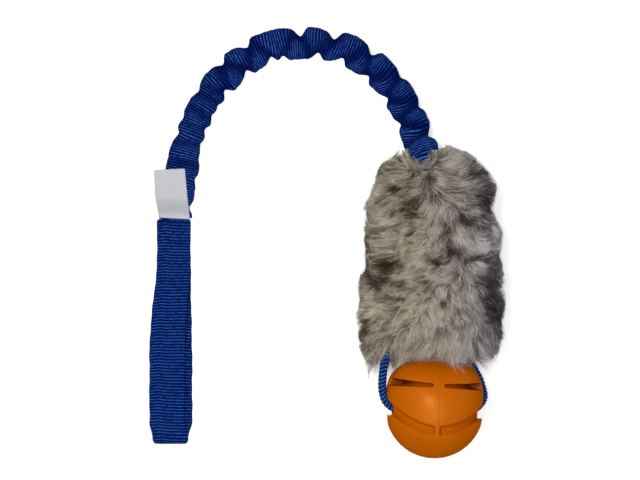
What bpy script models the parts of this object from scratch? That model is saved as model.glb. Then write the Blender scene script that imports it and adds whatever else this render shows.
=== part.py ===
"""Bungee tug toy: a webbing handle, a ruched bungee, a fur tug and a rubber ball on a cord.

The toy lies on the ground as it is thrown down: +X across it, +Y towards the crown
of the bungee's arch, +Z up. Every size and place is in metres.
"""
import math

import bmesh
import bpy
from mathutils import Matrix, Vector, noise

GAP = 0.0003
CURVE_PARTS = 16

# Webbing handle: one loop of flattened tubular webbing, sewn to itself at its top.
HANDLE_X = -0.1020
WEBBING_WIDTH = 0.0232
WEBBING_THICKNESS = 0.0026
SEAM_TOP_Y = 0.0570
SEAM_LENGTH = 0.0170
SEAM_HEIGHT = 0.0076
LOOP_HEIGHT = 0.0142
LOOP_RAMP = 0.0400
FOLD_Y = -0.0860
FRONT_LEAN = -0.0034
BACK_LEAN = 0.0018
FOLD_LEAN = -0.0010
WEBBING_STEP = 0.0120
FOLD_POINTS = 8
WEBBING_EDGE = 0.0006

# Sewn label, folded double, rooted in the handle's seam.
LABEL_SIZE = (0.0207, 0.0322)
LABEL_THICKNESS = 0.0011
LABEL_ROOT_X = -0.1004
LABEL_LEAN = -0.0033
LABEL_CLIMB = 0.0160
LABEL_CLEARANCE = 0.0025
LABEL_ROOT_RISE = 0.0004
LABEL_ROOT_GAP = 0.0006
LABEL_STEPS = 8

# Bungee: the route of its middle from the handle's seam to its end inside the fur.
BUNGEE_ROUTE = (
    (-0.0997, 0.0573, 0.0032),
    (-0.0997, 0.0598, 0.0033),
    (-0.0997, 0.0640, 0.0051),
    (-0.0991, 0.0730, 0.0086),
    (-0.0974, 0.0825, 0.0091),
    (-0.0953, 0.0930, 0.0089),
    (-0.0920, 0.1060, 0.0089),
    (-0.0870, 0.1193, 0.0089),
    (-0.0803, 0.1327, 0.0089),
    (-0.0720, 0.1453, 0.0089),
    (-0.0620, 0.1563, 0.0089),
    (-0.0493, 0.1655, 0.0089),
    (-0.0353, 0.1715, 0.0089),
    (-0.0193, 0.1740, 0.0089),
    (-0.0033, 0.1730, 0.0089),
    (0.0120, 0.1687, 0.0089),
    (0.0260, 0.1607, 0.0089),
    (0.0383, 0.1500, 0.0089),
    (0.0480, 0.1373, 0.0090),
    (0.0550, 0.1240, 0.0104),
    (0.0600, 0.1113, 0.0140),
    (0.0637, 0.1000, 0.0182),
    (0.0665, 0.0900, 0.0215),
)
SLEEVE_RADIUS = 0.0078
SLEEVE_GATHERS = 12
GATHER_RISE = 0.0027
GATHER_LIFT = 0.0007
RINGS_PER_GATHER = 8
SLEEVE_SIDES = 14
FLAT_END = (0.0113, 0.0026)
FLAT_LENGTH = 0.0180
PLAIN_END = 0.0160
BORE_RADIUS = 0.0037
CORE_RADIUS = 0.0033
CORE_START = 0.0150
CORE_TAIL = 0.0060
TUBE_STEP = 0.0050

# Fur tug: a stuffed body that swells towards its lower end.
FUR_X = 0.0703
FUR_TOP_Y = 0.1040
FUR_BOTTOM_Y = -0.0338
FUR_HALF_WIDTH = 0.0468
FUR_HALF_THICKNESS = 0.0255
FUR_NECK_SHARE = 0.83
FUR_SWELL_RATE = 1.5
FUR_TOP_ROUND = 0.0290
FUR_TOP_POWER = 2.4
FUR_BOTTOM_ROUND = 0.0180
FUR_BOTTOM_POWER = 3.0
FUR_TOP_TAPER = 0.0400
FUR_BOTTOM_TAPER = 0.0320
FUR_TAPER_POWER = 2.0
FUR_WIDTH_POWER = 0.85
FUR_HEIGHT_POWER = 0.90
FUR_TOP_Z = 0.0215
FUR_BOTTOM_Z = 0.0300
FUR_WALL = 0.0130
FUR_RINGS = 26
FUR_SIDES = 40
TUFT_RISE = 0.0056
TUFT_SPACING = (0.0330, 0.0200, 0.0260)
TUFT_SHIFT = Vector((8.51, 0.0, 0.0))
TUFT_FADE = 0.0180
ROOM_RINGS = 12
ROOM_SIDES = 20
NECK_POINTS = 9
GROUND_CUT = 0.0005
GROUND_MARGIN = 0.0500

# Inner strap: a flat webbing that carries the pull from the bungee to the ball's cord.
STRAP_WIDTH = 0.0200
STRAP_THICKNESS = 0.0024
STRAP_LOOP_WALL = 0.0022
STRAP_TOP_Y = 0.0830
STRAP_EYE_STEPS = 16

# Ball: moulded rubber, bored across for its cord, the mould opening along X.
BALL_CENTRE = Vector((0.0730, -0.0701, 0.0328))
BALL_RADIUS = 0.0328
BALL_TURN = math.radians(4.7)
SHOULDER_POWER = 1.2
BALL_BORE_RADIUS = 0.0034
BORE_LIP_RADIUS = 0.0105
BORE_STRAIGHT = 0.0215
BORE_FLARE = 1.6
BORE_FLARE_STEPS = 4
BALL_SEGMENTS = 40
BALL_RINGS = 20

# The ball's grooves. A wall is its height in the middle and its curl: the wall climbs
# by the curl times the square of x, so that it bends up towards the sides.
SLOT_LOW_WALL = (0.0145, -0.6)
SLOT_HIGH_WALL = (0.0171, 2.3)
SLOT_TILT = math.radians(-3.2)
SLOT_FLOOR_RADIUS = 0.0236
SLOT_BRIDGE = 0.0078
SLOT_REACH = math.radians(79)
SMILE_LOW_WALL = (-0.0176, 13.7)
SMILE_HIGH_WALL = (-0.0114, 15.7)
SMILE_TILT = math.radians(-2.5)
SMILE_FLOOR_RADIUS = 0.0295
SMILE_BRIDGE = 0.0036
SMILE_REACH = math.radians(94)
CUTTER_RADIUS = 0.0400
CUTTER_STEPS = 22
CUTTER_SIDES = 12

# Ball cord: one endless loop through the ball and the strap, measured from the ball's centre.
CORD_RADIUS = 0.0027
CORD_ROUTE = (
    (0.0000, 0.0000, 0.0000),
    (-0.0200, 0.0000, 0.0016),
    (-0.0275, 0.0009, 0.0024),
    (-0.0336, 0.0050, 0.0035),
    (-0.0370, 0.0120, 0.0050),
    (-0.0373, 0.0200, 0.0070),
    (-0.0357, 0.0280, 0.0097),
    (-0.0327, 0.0360, 0.0120),
    (-0.0288, 0.0440, 0.0110),
    (-0.0225, 0.0530, 0.0030),
    (-0.0120, 0.0595, -0.0040),
    (0.0000, 0.0612, -0.0055),
    (0.0110, 0.0580, -0.0070),
    (0.0185, 0.0480, -0.0110),
    (0.0226, 0.0350, -0.0140),
    (0.0262, 0.0270, -0.0142),
    (0.0312, 0.0205, -0.0127),
    (0.0352, 0.0130, -0.0092),
    (0.0353, 0.0075, -0.0062),
    (0.0312, 0.0024, -0.0034),
    (0.0240, 0.0002, -0.0020),
)
CORD_STEP = 0.0055
EYE_INDEX = 11


def clear_scene():
    for item in list(bpy.data.objects):
        bpy.data.objects.remove(item, do_unlink=True)


def material(name, colour, roughness):
    """A plain Principled material; nothing on the toy is metal."""
    made = bpy.data.materials.new(name)
    made.use_nodes = True
    shader = made.node_tree.nodes["Principled BSDF"]
    shader.inputs["Base Color"].default_value = (*colour, 1.0)
    shader.inputs["Roughness"].default_value = roughness
    shader.inputs["Metallic"].default_value = 0.0
    return made


def keep(name, data, finish, parent=None):
    """Link mesh or curve data as a named object with its material."""
    data.materials.append(finish)
    made = bpy.data.objects.new(name, data)
    bpy.context.scene.collection.objects.link(made)
    made.parent = parent
    return made


def mesh_from(name, work):
    """Turn a bmesh into mesh data with its faces pointing out."""
    bmesh.ops.recalc_face_normals(work, faces=work.faces)
    data = bpy.data.meshes.new(name)
    work.to_mesh(data)
    work.free()
    return data


def smooth(data, angle=math.radians(50)):
    data.shade_smooth()
    data.set_sharp_from_angle(angle=angle)


def cut(target, cutter):
    """Take a cutter out of an object and keep the cutter as a hidden guide."""
    cutter.hide_render = True
    cutter.display_type = "WIRE"
    step = target.modifiers.new("cut_" + cutter.name, "BOOLEAN")
    step.operation = "DIFFERENCE"
    step.object = cutter


def axis_empty(name, place, turn=0.0):
    """A joint's axis point, turned about Y: what turns on it is parented to it."""
    made = bpy.data.objects.new(name, None)
    bpy.context.scene.collection.objects.link(made)
    made.location = place
    made.rotation_euler = (0.0, turn, 0.0)
    return made


def resample(points, step, closed=False):
    """Even points on the smooth Catmull-Rom curve through hand-chosen ones."""
    ring = [Vector(point) for point in points]
    count = len(ring)
    fine = []
    spans = count if closed else count - 1
    for index in range(spans):
        if closed:
            near = [ring[(index + shift) % count] for shift in (-1, 0, 1, 2)]
        else:
            near = [ring[min(max(index + shift, 0), count - 1)] for shift in (-1, 0, 1, 2)]
        for part in range(CURVE_PARTS):
            fine.append(catmull_rom(near, part / CURVE_PARTS))
    fine.append(ring[0] if closed else ring[-1])
    lengths = [0.0]
    for first, second in zip(fine, fine[1:]):
        lengths.append(lengths[-1] + (second - first).length)
    pieces = max(2, round(lengths[-1] / step))
    even = []
    at = 0
    for index in range(pieces if closed else pieces + 1):
        goal = lengths[-1] * index / pieces
        while at < len(lengths) - 2 and lengths[at + 1] < goal:
            at += 1
        share = (goal - lengths[at]) / (lengths[at + 1] - lengths[at])
        even.append(fine[at].lerp(fine[at + 1], share))
    return even, lengths[-1]


def catmull_rom(near, share):
    before, start, end, after = near
    square = share * share
    cube = square * share
    return 0.5 * (
        2 * start
        + (end - before) * share
        + (2 * before - 5 * start + 4 * end - after) * square
        + (3 * start - before - 3 * end + after) * cube
    )


def ease(share):
    share = min(max(share, 0.0), 1.0)
    return share * share * (3 - 2 * share)


def loft(name, rings):
    """A closed skin over rings of points that all run the same way round."""
    work = bmesh.new()
    rows = [[work.verts.new(point) for point in ring] for ring in rings]
    for first, second in zip(rows, rows[1:]):
        for side in range(len(first)):
            after = (side + 1) % len(first)
            work.faces.new((first[side], first[after], second[after], second[side]))
    for row in (rows[0], rows[-1]):
        fan(work, row)
    return mesh_from(name, work)


def fan(work, row):
    """Close a ring with triangles to its middle."""
    middle = sum((vert.co for vert in row), Vector()) / len(row)
    hub = work.verts.new(middle)
    for side in range(len(row)):
        work.faces.new((row[side], row[(side + 1) % len(row)], hub))


def tube_data(name, points, radius, sides_level, closed=False):
    """A round cord as a bevelled curve with filled caps."""
    data = bpy.data.curves.new(name, "CURVE")
    data.dimensions = "3D"
    data.bevel_depth = radius
    data.bevel_resolution = sides_level
    data.use_fill_caps = not closed
    line = data.splines.new("POLY")
    line.points.add(len(points) - 1)
    for slot, point in zip(line.points, points):
        slot.co = (*point, 1.0)
    line.use_cyclic_u = closed
    return data


def cutter_tube(name, points, radius, finish, closed=False):
    """A mesh tube for a Boolean: the way that a cord takes through a piece."""
    work = bmesh.new()
    rows = []
    for index, (point, aside, up) in enumerate(route_frames(points, closed)):
        row = []
        for side in range(CUTTER_SIDES):
            turn = 2 * math.pi * side / CUTTER_SIDES
            offset = aside * math.cos(turn) + up * math.sin(turn)
            row.append(work.verts.new(point + offset * radius))
        rows.append(row)
    spans = list(zip(rows, rows[1:]))
    if closed:
        spans.append((rows[-1], rows[0]))
    for first, second in spans:
        for side in range(CUTTER_SIDES):
            after = (side + 1) % CUTTER_SIDES
            work.faces.new((first[side], first[after], second[after], second[side]))
    if not closed:
        fan(work, rows[0])
        fan(work, rows[-1])
    return keep(name, mesh_from(name, work), finish)


def route_frames(points, closed=False):
    """Each route point with its sideways and upward unit vectors."""
    frames = []
    count = len(points)
    upright = Vector((0.0, 0.0, 1.0))
    for index, point in enumerate(points):
        if closed:
            ahead = points[(index + 1) % count] - points[index - 1]
        else:
            ahead = points[min(index + 1, count - 1)] - points[max(index - 1, 0)]
        ahead.normalize()
        aside = ahead.cross(upright).normalized()
        frames.append((point, aside, aside.cross(ahead)))
    return frames


def front_underside(y):
    """Height of the front strand's underside: it opens away from the seam."""
    seam_bottom = SEAM_TOP_Y - SEAM_LENGTH
    low = SEAM_HEIGHT - WEBBING_THICKNESS
    high = LOOP_HEIGHT - WEBBING_THICKNESS
    return low + (high - low) * ease((seam_bottom - y) / LOOP_RAMP)


def handle_outline():
    """The loop seen from its side: the outer outline and the gap in it, as y and z."""
    seam_bottom = SEAM_TOP_Y - SEAM_LENGTH
    rows = math.ceil((seam_bottom - FOLD_Y) / WEBBING_STEP)
    levels = [seam_bottom + (FOLD_Y - seam_bottom) * row / rows for row in range(rows + 1)]
    outer_radius = LOOP_HEIGHT / 2
    inner_radius = outer_radius - WEBBING_THICKNESS
    turn = [math.pi * step / FOLD_POINTS for step in range(1, FOLD_POINTS)]
    outer = [(SEAM_TOP_Y, 0.0)] + [(y, 0.0) for y in levels]
    outer += fold_arc(outer_radius, turn)
    outer += [(y, front_underside(y) + WEBBING_THICKNESS) for y in reversed(levels)]
    outer += [(SEAM_TOP_Y, SEAM_HEIGHT)]
    inner = [(y, WEBBING_THICKNESS) for y in levels]
    inner += fold_arc(inner_radius, turn)
    inner += [(y, front_underside(y)) for y in reversed(levels)]
    return outer, inner


def fold_arc(radius, turn):
    centre = LOOP_HEIGHT / 2
    return [(FOLD_Y - radius * math.sin(a), centre - radius * math.cos(a)) for a in turn]


def strand_shift(y, z):
    """How far the strands lean sideways: the front one left, the back one right."""
    down = ease((SEAM_TOP_Y - SEAM_LENGTH - y) / (2 * LOOP_RAMP))
    near_fold = ease((FOLD_Y + LOOP_RAMP / 2 - y) / (LOOP_RAMP / 2))
    front = ease((z - WEBBING_THICKNESS) / (LOOP_HEIGHT - 2 * WEBBING_THICKNESS))
    lean = BACK_LEAN + (FRONT_LEAN - BACK_LEAN) * front
    return down * (lean + (FOLD_LEAN - lean) * near_fold)


def handle_webbing(finish):
    work = bmesh.new()
    edges = []
    for outline in handle_outline():
        row = [work.verts.new((-WEBBING_WIDTH / 2, y, z)) for y, z in outline]
        for index, vert in enumerate(row):
            edges.append(work.edges.new((vert, row[(index + 1) % len(row)])))
    side = bmesh.ops.triangle_fill(work, use_beauty=True, edges=edges)["geom"]
    faces = [item for item in side if isinstance(item, bmesh.types.BMFace)]
    swept = bmesh.ops.extrude_face_region(work, geom=faces)["geom"]
    moved = [item for item in swept if isinstance(item, bmesh.types.BMVert)]
    bmesh.ops.translate(work, verts=moved, vec=(WEBBING_WIDTH, 0.0, 0.0))
    for vert in work.verts:
        vert.co.x += HANDLE_X + strand_shift(vert.co.y, vert.co.z)
    data = mesh_from("handle_webbing", work)
    made = keep("handle_webbing", data, finish)
    bevel = made.modifiers.new("woven_edge", "BEVEL")
    bevel.width = WEBBING_EDGE
    bevel.segments = 1
    bevel.angle_limit = math.radians(60)
    return made


def label_height(y):
    """The label's underside: it climbs from the seam onto the gathered sleeve."""
    root = SEAM_HEIGHT + LABEL_ROOT_RISE
    top = 2 * SLEEVE_RADIUS + GATHER_LIFT + LABEL_CLEARANCE
    return root + (top - root) * ease((y - SEAM_TOP_Y) / LABEL_CLIMB)


def sewn_label(finish):
    """A folded satin label, left bare, standing clear of the sleeve that it lies on."""
    width, length = LABEL_SIZE
    rings = []
    for step in range(LABEL_STEPS + 1):
        share = step / LABEL_STEPS
        y = SEAM_TOP_Y + LABEL_ROOT_GAP + length * share
        x = LABEL_ROOT_X + LABEL_LEAN * share
        low = label_height(y)
        high = low + LABEL_THICKNESS
        left = x - width / 2
        right = x + width / 2
        rings.append([(left, y, low), (right, y, low), (right, y, high), (left, y, high)])
    return keep("sewn_label", loft("sewn_label", rings), finish)


def scallop(phase):
    """One gather: a broad round crest between two sharp creases, from -1 to 1."""
    return 2 * abs(math.cos(phase / 2)) - 1


def sleeve_rings():
    """Rings of the ruched sleeve: creases on alternate sides, flat where it is sewn."""
    _, length = resample(BUNGEE_ROUTE, TUBE_STEP)
    points, _ = resample(BUNGEE_ROUTE, length / (SLEEVE_GATHERS * RINGS_PER_GATHER))
    rings = []
    for index, (point, aside, up) in enumerate(route_frames(points)):
        along = length * index / (len(points) - 1)
        gathered = ease((along - FLAT_LENGTH / 2) / FLAT_LENGTH)
        gathered *= ease((length - PLAIN_END - along) / (PLAIN_END / 2))
        flat = 1 - ease(along / FLAT_LENGTH)
        phase = 2 * math.pi * index / RINGS_PER_GATHER
        half_width = SLEEVE_RADIUS + (FLAT_END[0] - SLEEVE_RADIUS) * flat
        half_height = SLEEVE_RADIUS + (FLAT_END[1] - SLEEVE_RADIUS) * flat
        ring = []
        for side in range(SLEEVE_SIDES):
            turn = 2 * math.pi * side / SLEEVE_SIDES
            across = math.cos(turn)
            crest = scallop(phase if across > 0 else phase + math.pi) * across * across
            lift = math.cos(2 * phase) * math.sin(turn) ** 2
            swell = gathered * (GATHER_RISE * crest + GATHER_LIFT * lift)
            sideways = aside * across * (half_width + swell)
            ring.append(point + sideways + up * math.sin(turn) * (half_height + swell))
        rings.append(ring)
    return rings


def bungee_points():
    points, _ = resample(BUNGEE_ROUTE, TUBE_STEP)
    return points


def bungee_sleeve(finish):
    made = keep("bungee_sleeve", loft("bungee_sleeve", sleeve_rings()), finish)
    start = round(CORE_START / TUBE_STEP)
    points = bungee_points()
    beyond = points[-1] + (points[-1] - points[-2]) * 2
    cut(made, cutter_tube("sleeve_bore", points[start:] + [beyond], BORE_RADIUS, finish))
    smooth(made.data)
    return made


def bungee_core(finish):
    """The elastic cord inside the sleeve, with a short tail to the inner strap."""
    points = bungee_points()
    ahead = (points[-1] - points[-2]).normalized()
    start = round(CORE_START / TUBE_STEP)
    inner = points[start:]
    inner[0] = inner[0] + (inner[1] - inner[0]).normalized() * GAP
    inner.append(points[-1] + ahead * CORE_TAIL)
    return keep("bungee_core", tube_data("bungee_core", inner, CORE_RADIUS, 2), finish)


def end_round(distance, depth, power):
    """From 0 at an end to 1 at its depth, along a superellipse."""
    share = min(max(distance / depth, 0.0), 1.0)
    return (1 - (1 - share) ** power) ** (1 / power)


def fur_section(y, inset):
    """Half width, half thickness and middle height of the fur body at a station."""
    from_top = FUR_TOP_Y - inset - y
    from_bottom = y - FUR_BOTTOM_Y - inset
    length = FUR_TOP_Y - FUR_BOTTOM_Y - 2 * inset
    swell = FUR_NECK_SHARE + (1 - FUR_NECK_SHARE) * ease(FUR_SWELL_RATE * from_top / length)
    half_width = FUR_HALF_WIDTH * swell - inset
    half_width *= end_round(from_top, FUR_TOP_ROUND, FUR_TOP_POWER)
    half_width *= end_round(from_bottom, FUR_BOTTOM_ROUND, FUR_BOTTOM_POWER)
    full = FUR_HALF_THICKNESS - inset
    half_thickness = full * end_round(from_top, FUR_TOP_TAPER, FUR_TAPER_POWER)
    half_thickness *= end_round(from_bottom, FUR_BOTTOM_TAPER, FUR_TAPER_POWER)
    end_z = FUR_TOP_Z if from_top < from_bottom else FUR_BOTTOM_Z
    resting = FUR_HALF_THICKNESS - GROUND_CUT
    middle = resting + (end_z - resting) * (1 - half_thickness / full)
    return half_width, half_thickness, middle


def signed_power(value, power):
    return math.copysign(abs(value) ** power, value)


def tuft_rise(place):
    """How far a tuft stands out, or a hollow draws in, at a place on the fur's skin."""
    x, y, z = place
    from_end = min(FUR_TOP_Y - y, y - FUR_BOTTOM_Y)
    share = ease(from_end / TUFT_FADE) * ease(z / TUFT_FADE)
    spaced = Vector(a / b for a, b in zip(place, TUFT_SPACING))
    return TUFT_RISE * share * noise.noise(spaced + TUFT_SHIFT)


def tufted(place, middle):
    """The place moved away from the middle of its section by its tuft."""
    off = Vector((place[0] - FUR_X, 0.0, place[2] - middle))
    return Vector(place) + off.normalized() * tuft_rise(place)


def fur_body(name, inset, rings=FUR_RINGS, sides=FUR_SIDES):
    """The stuffed body's skin, drawn in all round by an inset, with tufts where it has none."""
    top = FUR_TOP_Y - inset
    bottom = FUR_BOTTOM_Y + inset
    skin = []
    for step in range(1, rings):
        y = top + (bottom - top) * (1 - math.cos(math.pi * step / rings)) / 2
        half_width, half_thickness, middle = fur_section(y, inset)
        ring = []
        for side in range(sides):
            turn = 2 * math.pi * side / sides
            across = signed_power(math.cos(turn), FUR_WIDTH_POWER)
            height = signed_power(math.sin(turn), FUR_HEIGHT_POWER)
            place = (FUR_X + half_width * across, y, middle + half_thickness * height)
            ring.append(place if inset else tufted(place, middle))
        skin.append(ring)
    return loft(name, skin)


def box_data(name, low, high):
    work = bmesh.new()
    bmesh.ops.create_cube(work, size=1.0)
    middle = (Vector(low) + Vector(high)) / 2
    size = Vector(high) - Vector(low)
    for vert in work.verts:
        vert.co = middle + Vector(a * b for a, b in zip(vert.co, size))
    return mesh_from(name, work)


def ball_cord_points():
    points, _ = resample(CORD_ROUTE, CORD_STEP, closed=True)
    return [BALL_CENTRE + point for point in points]


def cord_way(name, finish):
    """The room that the ball's cord needs through a piece."""
    return cutter_tube(name, ball_cord_points(), CORD_RADIUS + 2 * GAP, finish, closed=True)


def neck_cutter(name, radius, finish):
    """The hole that the sleeve's end comes in by."""
    points = bungee_points()
    beyond = points[-1] + (points[-1] - points[-2]).normalized() * (CORE_TAIL + GAP)
    return cutter_tube(name, points[-NECK_POINTS:] + [beyond], radius, finish)


def fur_cover(finish):
    """The fur with its hide, one thick skin open at the neck and where the cord leaves."""
    made = keep("fur_cover", fur_body("fur_cover", 0.0), finish)
    room = keep("fur_room", fur_body("fur_room", FUR_WALL, ROOM_RINGS, ROOM_SIDES), finish)
    reach = FUR_HALF_WIDTH + GROUND_MARGIN
    low = (FUR_X - reach, FUR_BOTTOM_Y - GROUND_MARGIN, -GROUND_MARGIN)
    high = (FUR_X + reach, FUR_TOP_Y + GROUND_MARGIN, 0.0)
    cut(made, room)
    cut(made, neck_cutter("fur_neck", SLEEVE_RADIUS + 2 * GAP, finish))
    cut(made, cord_way("fur_cord_way", finish))
    cut(made, keep("ground", box_data("ground", low, high), finish))
    smooth(made.data)
    return made


def strap_outline():
    """The strap from its side: flat above, folded round the ball's cord below."""
    eye = ball_cord_eye()
    outer = CORD_RADIUS + 2 * GAP + STRAP_LOOP_WALL
    half = STRAP_THICKNESS / 2
    start = math.asin(half / outer)
    sweep = 2 * math.pi - 2 * start
    points = []
    for step in range(STRAP_EYE_STEPS + 1):
        turn = math.pi / 2 + start + sweep * step / STRAP_EYE_STEPS
        points.append((eye.y + outer * math.sin(turn), eye.z + outer * math.cos(turn)))
    rise = strap_top_z() - eye.z
    top = [(STRAP_TOP_Y, eye.z + rise + half), (STRAP_TOP_Y, eye.z + rise - half)]
    return top, points


def ball_cord_eye():
    """Where the cord crosses the strap's folded end."""
    return BALL_CENTRE + Vector(CORD_ROUTE[EYE_INDEX])


def strap_top_z():
    points = bungee_points()
    ahead = (points[-1] - points[-2]).normalized()
    tip = points[-1] + ahead * CORE_TAIL
    return tip.z


def inner_strap(finish):
    """Load strap inside the fur, its lower end folded into an eye for the cord."""
    top, eye = strap_outline()
    work = bmesh.new()
    row = [work.verts.new((FUR_X - STRAP_WIDTH / 2, y, z)) for y, z in top + eye]
    face = work.faces.new(row)
    swept = bmesh.ops.extrude_face_region(work, geom=[face])["geom"]
    moved = [item for item in swept if isinstance(item, bmesh.types.BMVert)]
    bmesh.ops.translate(work, verts=moved, vec=(STRAP_WIDTH, 0.0, 0.0))
    bmesh.ops.triangulate(work, faces=work.faces)
    made = keep("inner_strap", mesh_from("inner_strap", work), finish)
    cut(made, cord_way("strap_cord_way", finish))
    return made


def fur_filling(finish):
    """The stuffing, with a way through it for the strap, the bungee's end and the cord."""
    data = fur_body("fur_filling", FUR_WALL + GAP, ROOM_RINGS, ROOM_SIDES)
    made = keep("fur_filling", data, finish)
    cut(made, neck_cutter("filling_neck", SLEEVE_RADIUS + 2 * GAP, finish))
    cut(made, cord_way("filling_cord_way", finish))
    eye = ball_cord_eye()
    reach = CORD_RADIUS + STRAP_LOOP_WALL + 4 * GAP
    side = STRAP_WIDTH / 2 + GAP
    low = (FUR_X - side, eye.y - reach, eye.z - reach)
    high = (FUR_X + side, STRAP_TOP_Y + GAP, eye.z + reach)
    cut(made, keep("strap_room", box_data("strap_room", low, high), finish))
    smooth(made.data)
    return made


def ball_point(turn, polar):
    """A point of the ball's skin: fuller at the two shoulders that face the fur."""
    lean = max(0.0, math.sin(turn))
    power = 2 + SHOULDER_POWER * lean * lean
    along = -math.cos(polar)
    away = math.sin(polar)
    size = BALL_RADIUS / (abs(along) ** power + abs(away) ** power) ** (1 / power)
    return along * size, away * size


def ball_profile(turn):
    """The ball's closed profile in one half plane through its bore."""
    lip = math.asin(BORE_LIP_RADIUS / BALL_RADIUS)
    sweep = math.pi - 2 * lip
    profile = [ball_point(turn, lip + sweep * step / BALL_RINGS) for step in range(BALL_RINGS + 1)]
    lip_x = profile[-1][0]
    lip_r = profile[-1][1]
    flare = []
    for step in range(1, BORE_FLARE_STEPS + 1):
        share = step / BORE_FLARE_STEPS
        x = lip_x + (BORE_STRAIGHT - lip_x) * share
        r = BALL_BORE_RADIUS + (lip_r - BALL_BORE_RADIUS) * (1 - share) ** BORE_FLARE
        flare.append((x, r))
    mirrored = [(-x, r) for x, r in reversed(flare)]
    return profile + flare + mirrored


def wall_point(wall, radius, bridge, reach, share):
    """A point of a groove's wall at a radius from the ball's centre, share of its way round."""
    level, curl = wall
    start = math.asin(bridge / 2 / math.sqrt(radius * radius - level * level))
    turn = start + (reach - start) * share
    away = radius
    for _ in range(6):
        height = level + curl * (away * math.sin(turn)) ** 2
        away = math.sqrt(radius * radius - height * height)
    return away * math.sin(turn), height, away * math.cos(turn)


def groove_cutter(name, floor_radius, walls, bridge, reach, finish):
    """A cutter that goes round both sides of the ball from a bridge in front."""
    low, high = walls
    work = bmesh.new()
    for sign in (-1, 1):
        rows = []
        for step in range(CUTTER_STEPS + 1):
            share = step / CUTTER_STEPS
            row = []
            for radius, wall in (
                (floor_radius, low),
                (CUTTER_RADIUS, low),
                (CUTTER_RADIUS, high),
                (floor_radius, high),
            ):
                x, y, z = wall_point(wall, radius, bridge, reach, share)
                row.append(work.verts.new((sign * x, y, z)))
            rows.append(row)
        for first, second in zip(rows, rows[1:]):
            for side in range(4):
                after = (side + 1) % 4
                work.faces.new((first[side], first[after], second[after], second[side]))
        work.faces.new(rows[0])
        work.faces.new(rows[-1])
    return keep(name, mesh_from(name, work), finish)


def ball_skin():
    """The bored ball before its grooves, turned about its bore."""
    work = bmesh.new()
    rows = []
    for segment in range(BALL_SEGMENTS):
        turn = 2 * math.pi * segment / BALL_SEGMENTS
        row = []
        for x, r in ball_profile(turn):
            row.append(work.verts.new((x, r * math.sin(turn), r * math.cos(turn))))
        rows.append(row)
    for segment, row in enumerate(rows):
        after = rows[(segment + 1) % BALL_SEGMENTS]
        for index in range(len(row)):
            following = (index + 1) % len(row)
            work.faces.new((row[index], row[following], after[following], after[index]))
    return mesh_from("ball", work)


def ball(finish, axle):
    """The rubber ball: a deep slot and a smile-shaped groove on its front and back."""
    made = keep("ball", ball_skin(), finish, axle)
    grooves = (
        ("slot", SLOT_FLOOR_RADIUS, (SLOT_LOW_WALL, SLOT_HIGH_WALL), SLOT_BRIDGE, SLOT_REACH, SLOT_TILT),
        ("smile", SMILE_FLOOR_RADIUS, (SMILE_LOW_WALL, SMILE_HIGH_WALL), SMILE_BRIDGE, SMILE_REACH, SMILE_TILT),
    )
    for face, facing in (("front", 0.0), ("back", math.pi)):
        for name, floor_radius, walls, bridge, reach, tilt in grooves:
            groove = groove_cutter(f"{name}_{face}", floor_radius, walls, bridge, reach, finish)
            groove.parent = axle
            groove.matrix_local = Matrix.Rotation(tilt, 4, "Z") @ Matrix.Rotation(facing, 4, "Y")
            cut(made, groove)
    smooth(made.data)
    return made


def ball_cord(finish):
    data = tube_data("ball_cord", ball_cord_points(), CORD_RADIUS, 2, closed=True)
    return keep("ball_cord", data, finish)


def build():
    clear_scene()
    webbing = material("navy_webbing", (0.010, 0.035, 0.135), 0.72)
    satin = material("white_satin", (0.80, 0.80, 0.82), 0.38)
    elastic = material("white_elastic", (0.62, 0.62, 0.60), 0.80)
    fur = material("mottled_fur", (0.21, 0.18, 0.145), 0.95)
    wadding = material("white_wadding", (0.75, 0.74, 0.70), 0.98)
    strapping = material("black_strapping", (0.03, 0.03, 0.035), 0.75)
    braid = material("blue_braid", (0.012, 0.060, 0.230), 0.55)
    rubber = material("orange_rubber", (0.60, 0.135, 0.003), 0.42)
    handle_webbing(webbing)
    sewn_label(satin)
    bungee_sleeve(webbing)
    bungee_core(elastic)
    fur_cover(fur)
    fur_filling(wadding)
    inner_strap(strapping)
    ball_cord(braid)
    ball(rubber, axis_empty("ball_spin_axis", BALL_CENTRE, BALL_TURN))


build()
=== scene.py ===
"""Looks of the bungee tug toy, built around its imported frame: metres, +Z up."""
import math

import bmesh
import bpy
import numpy as np
from mathutils import Matrix, Vector, noise

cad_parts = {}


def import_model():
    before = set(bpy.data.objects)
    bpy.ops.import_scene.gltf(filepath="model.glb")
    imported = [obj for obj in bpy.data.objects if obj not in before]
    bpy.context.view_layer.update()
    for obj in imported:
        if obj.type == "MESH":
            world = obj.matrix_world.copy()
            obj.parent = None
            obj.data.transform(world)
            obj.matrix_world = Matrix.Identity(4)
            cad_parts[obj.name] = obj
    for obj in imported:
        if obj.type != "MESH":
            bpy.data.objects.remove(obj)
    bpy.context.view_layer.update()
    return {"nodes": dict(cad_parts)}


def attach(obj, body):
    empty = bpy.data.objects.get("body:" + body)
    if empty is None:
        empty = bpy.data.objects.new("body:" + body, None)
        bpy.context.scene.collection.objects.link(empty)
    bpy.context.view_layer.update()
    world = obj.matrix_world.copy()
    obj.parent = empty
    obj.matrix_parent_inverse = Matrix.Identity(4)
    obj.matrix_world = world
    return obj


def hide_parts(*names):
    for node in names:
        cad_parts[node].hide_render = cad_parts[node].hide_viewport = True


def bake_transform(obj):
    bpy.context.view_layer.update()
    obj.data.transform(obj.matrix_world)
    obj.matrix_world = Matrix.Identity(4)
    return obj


MM = 0.001

# The photograph looks straight down on a field this wide, 640 by 480 pixels.
VIEW_WIDTH = 0.42667
VIEW_CENTRE = (-0.00333, 0.04267)
CAMERA_HEIGHT = 2.0

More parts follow.
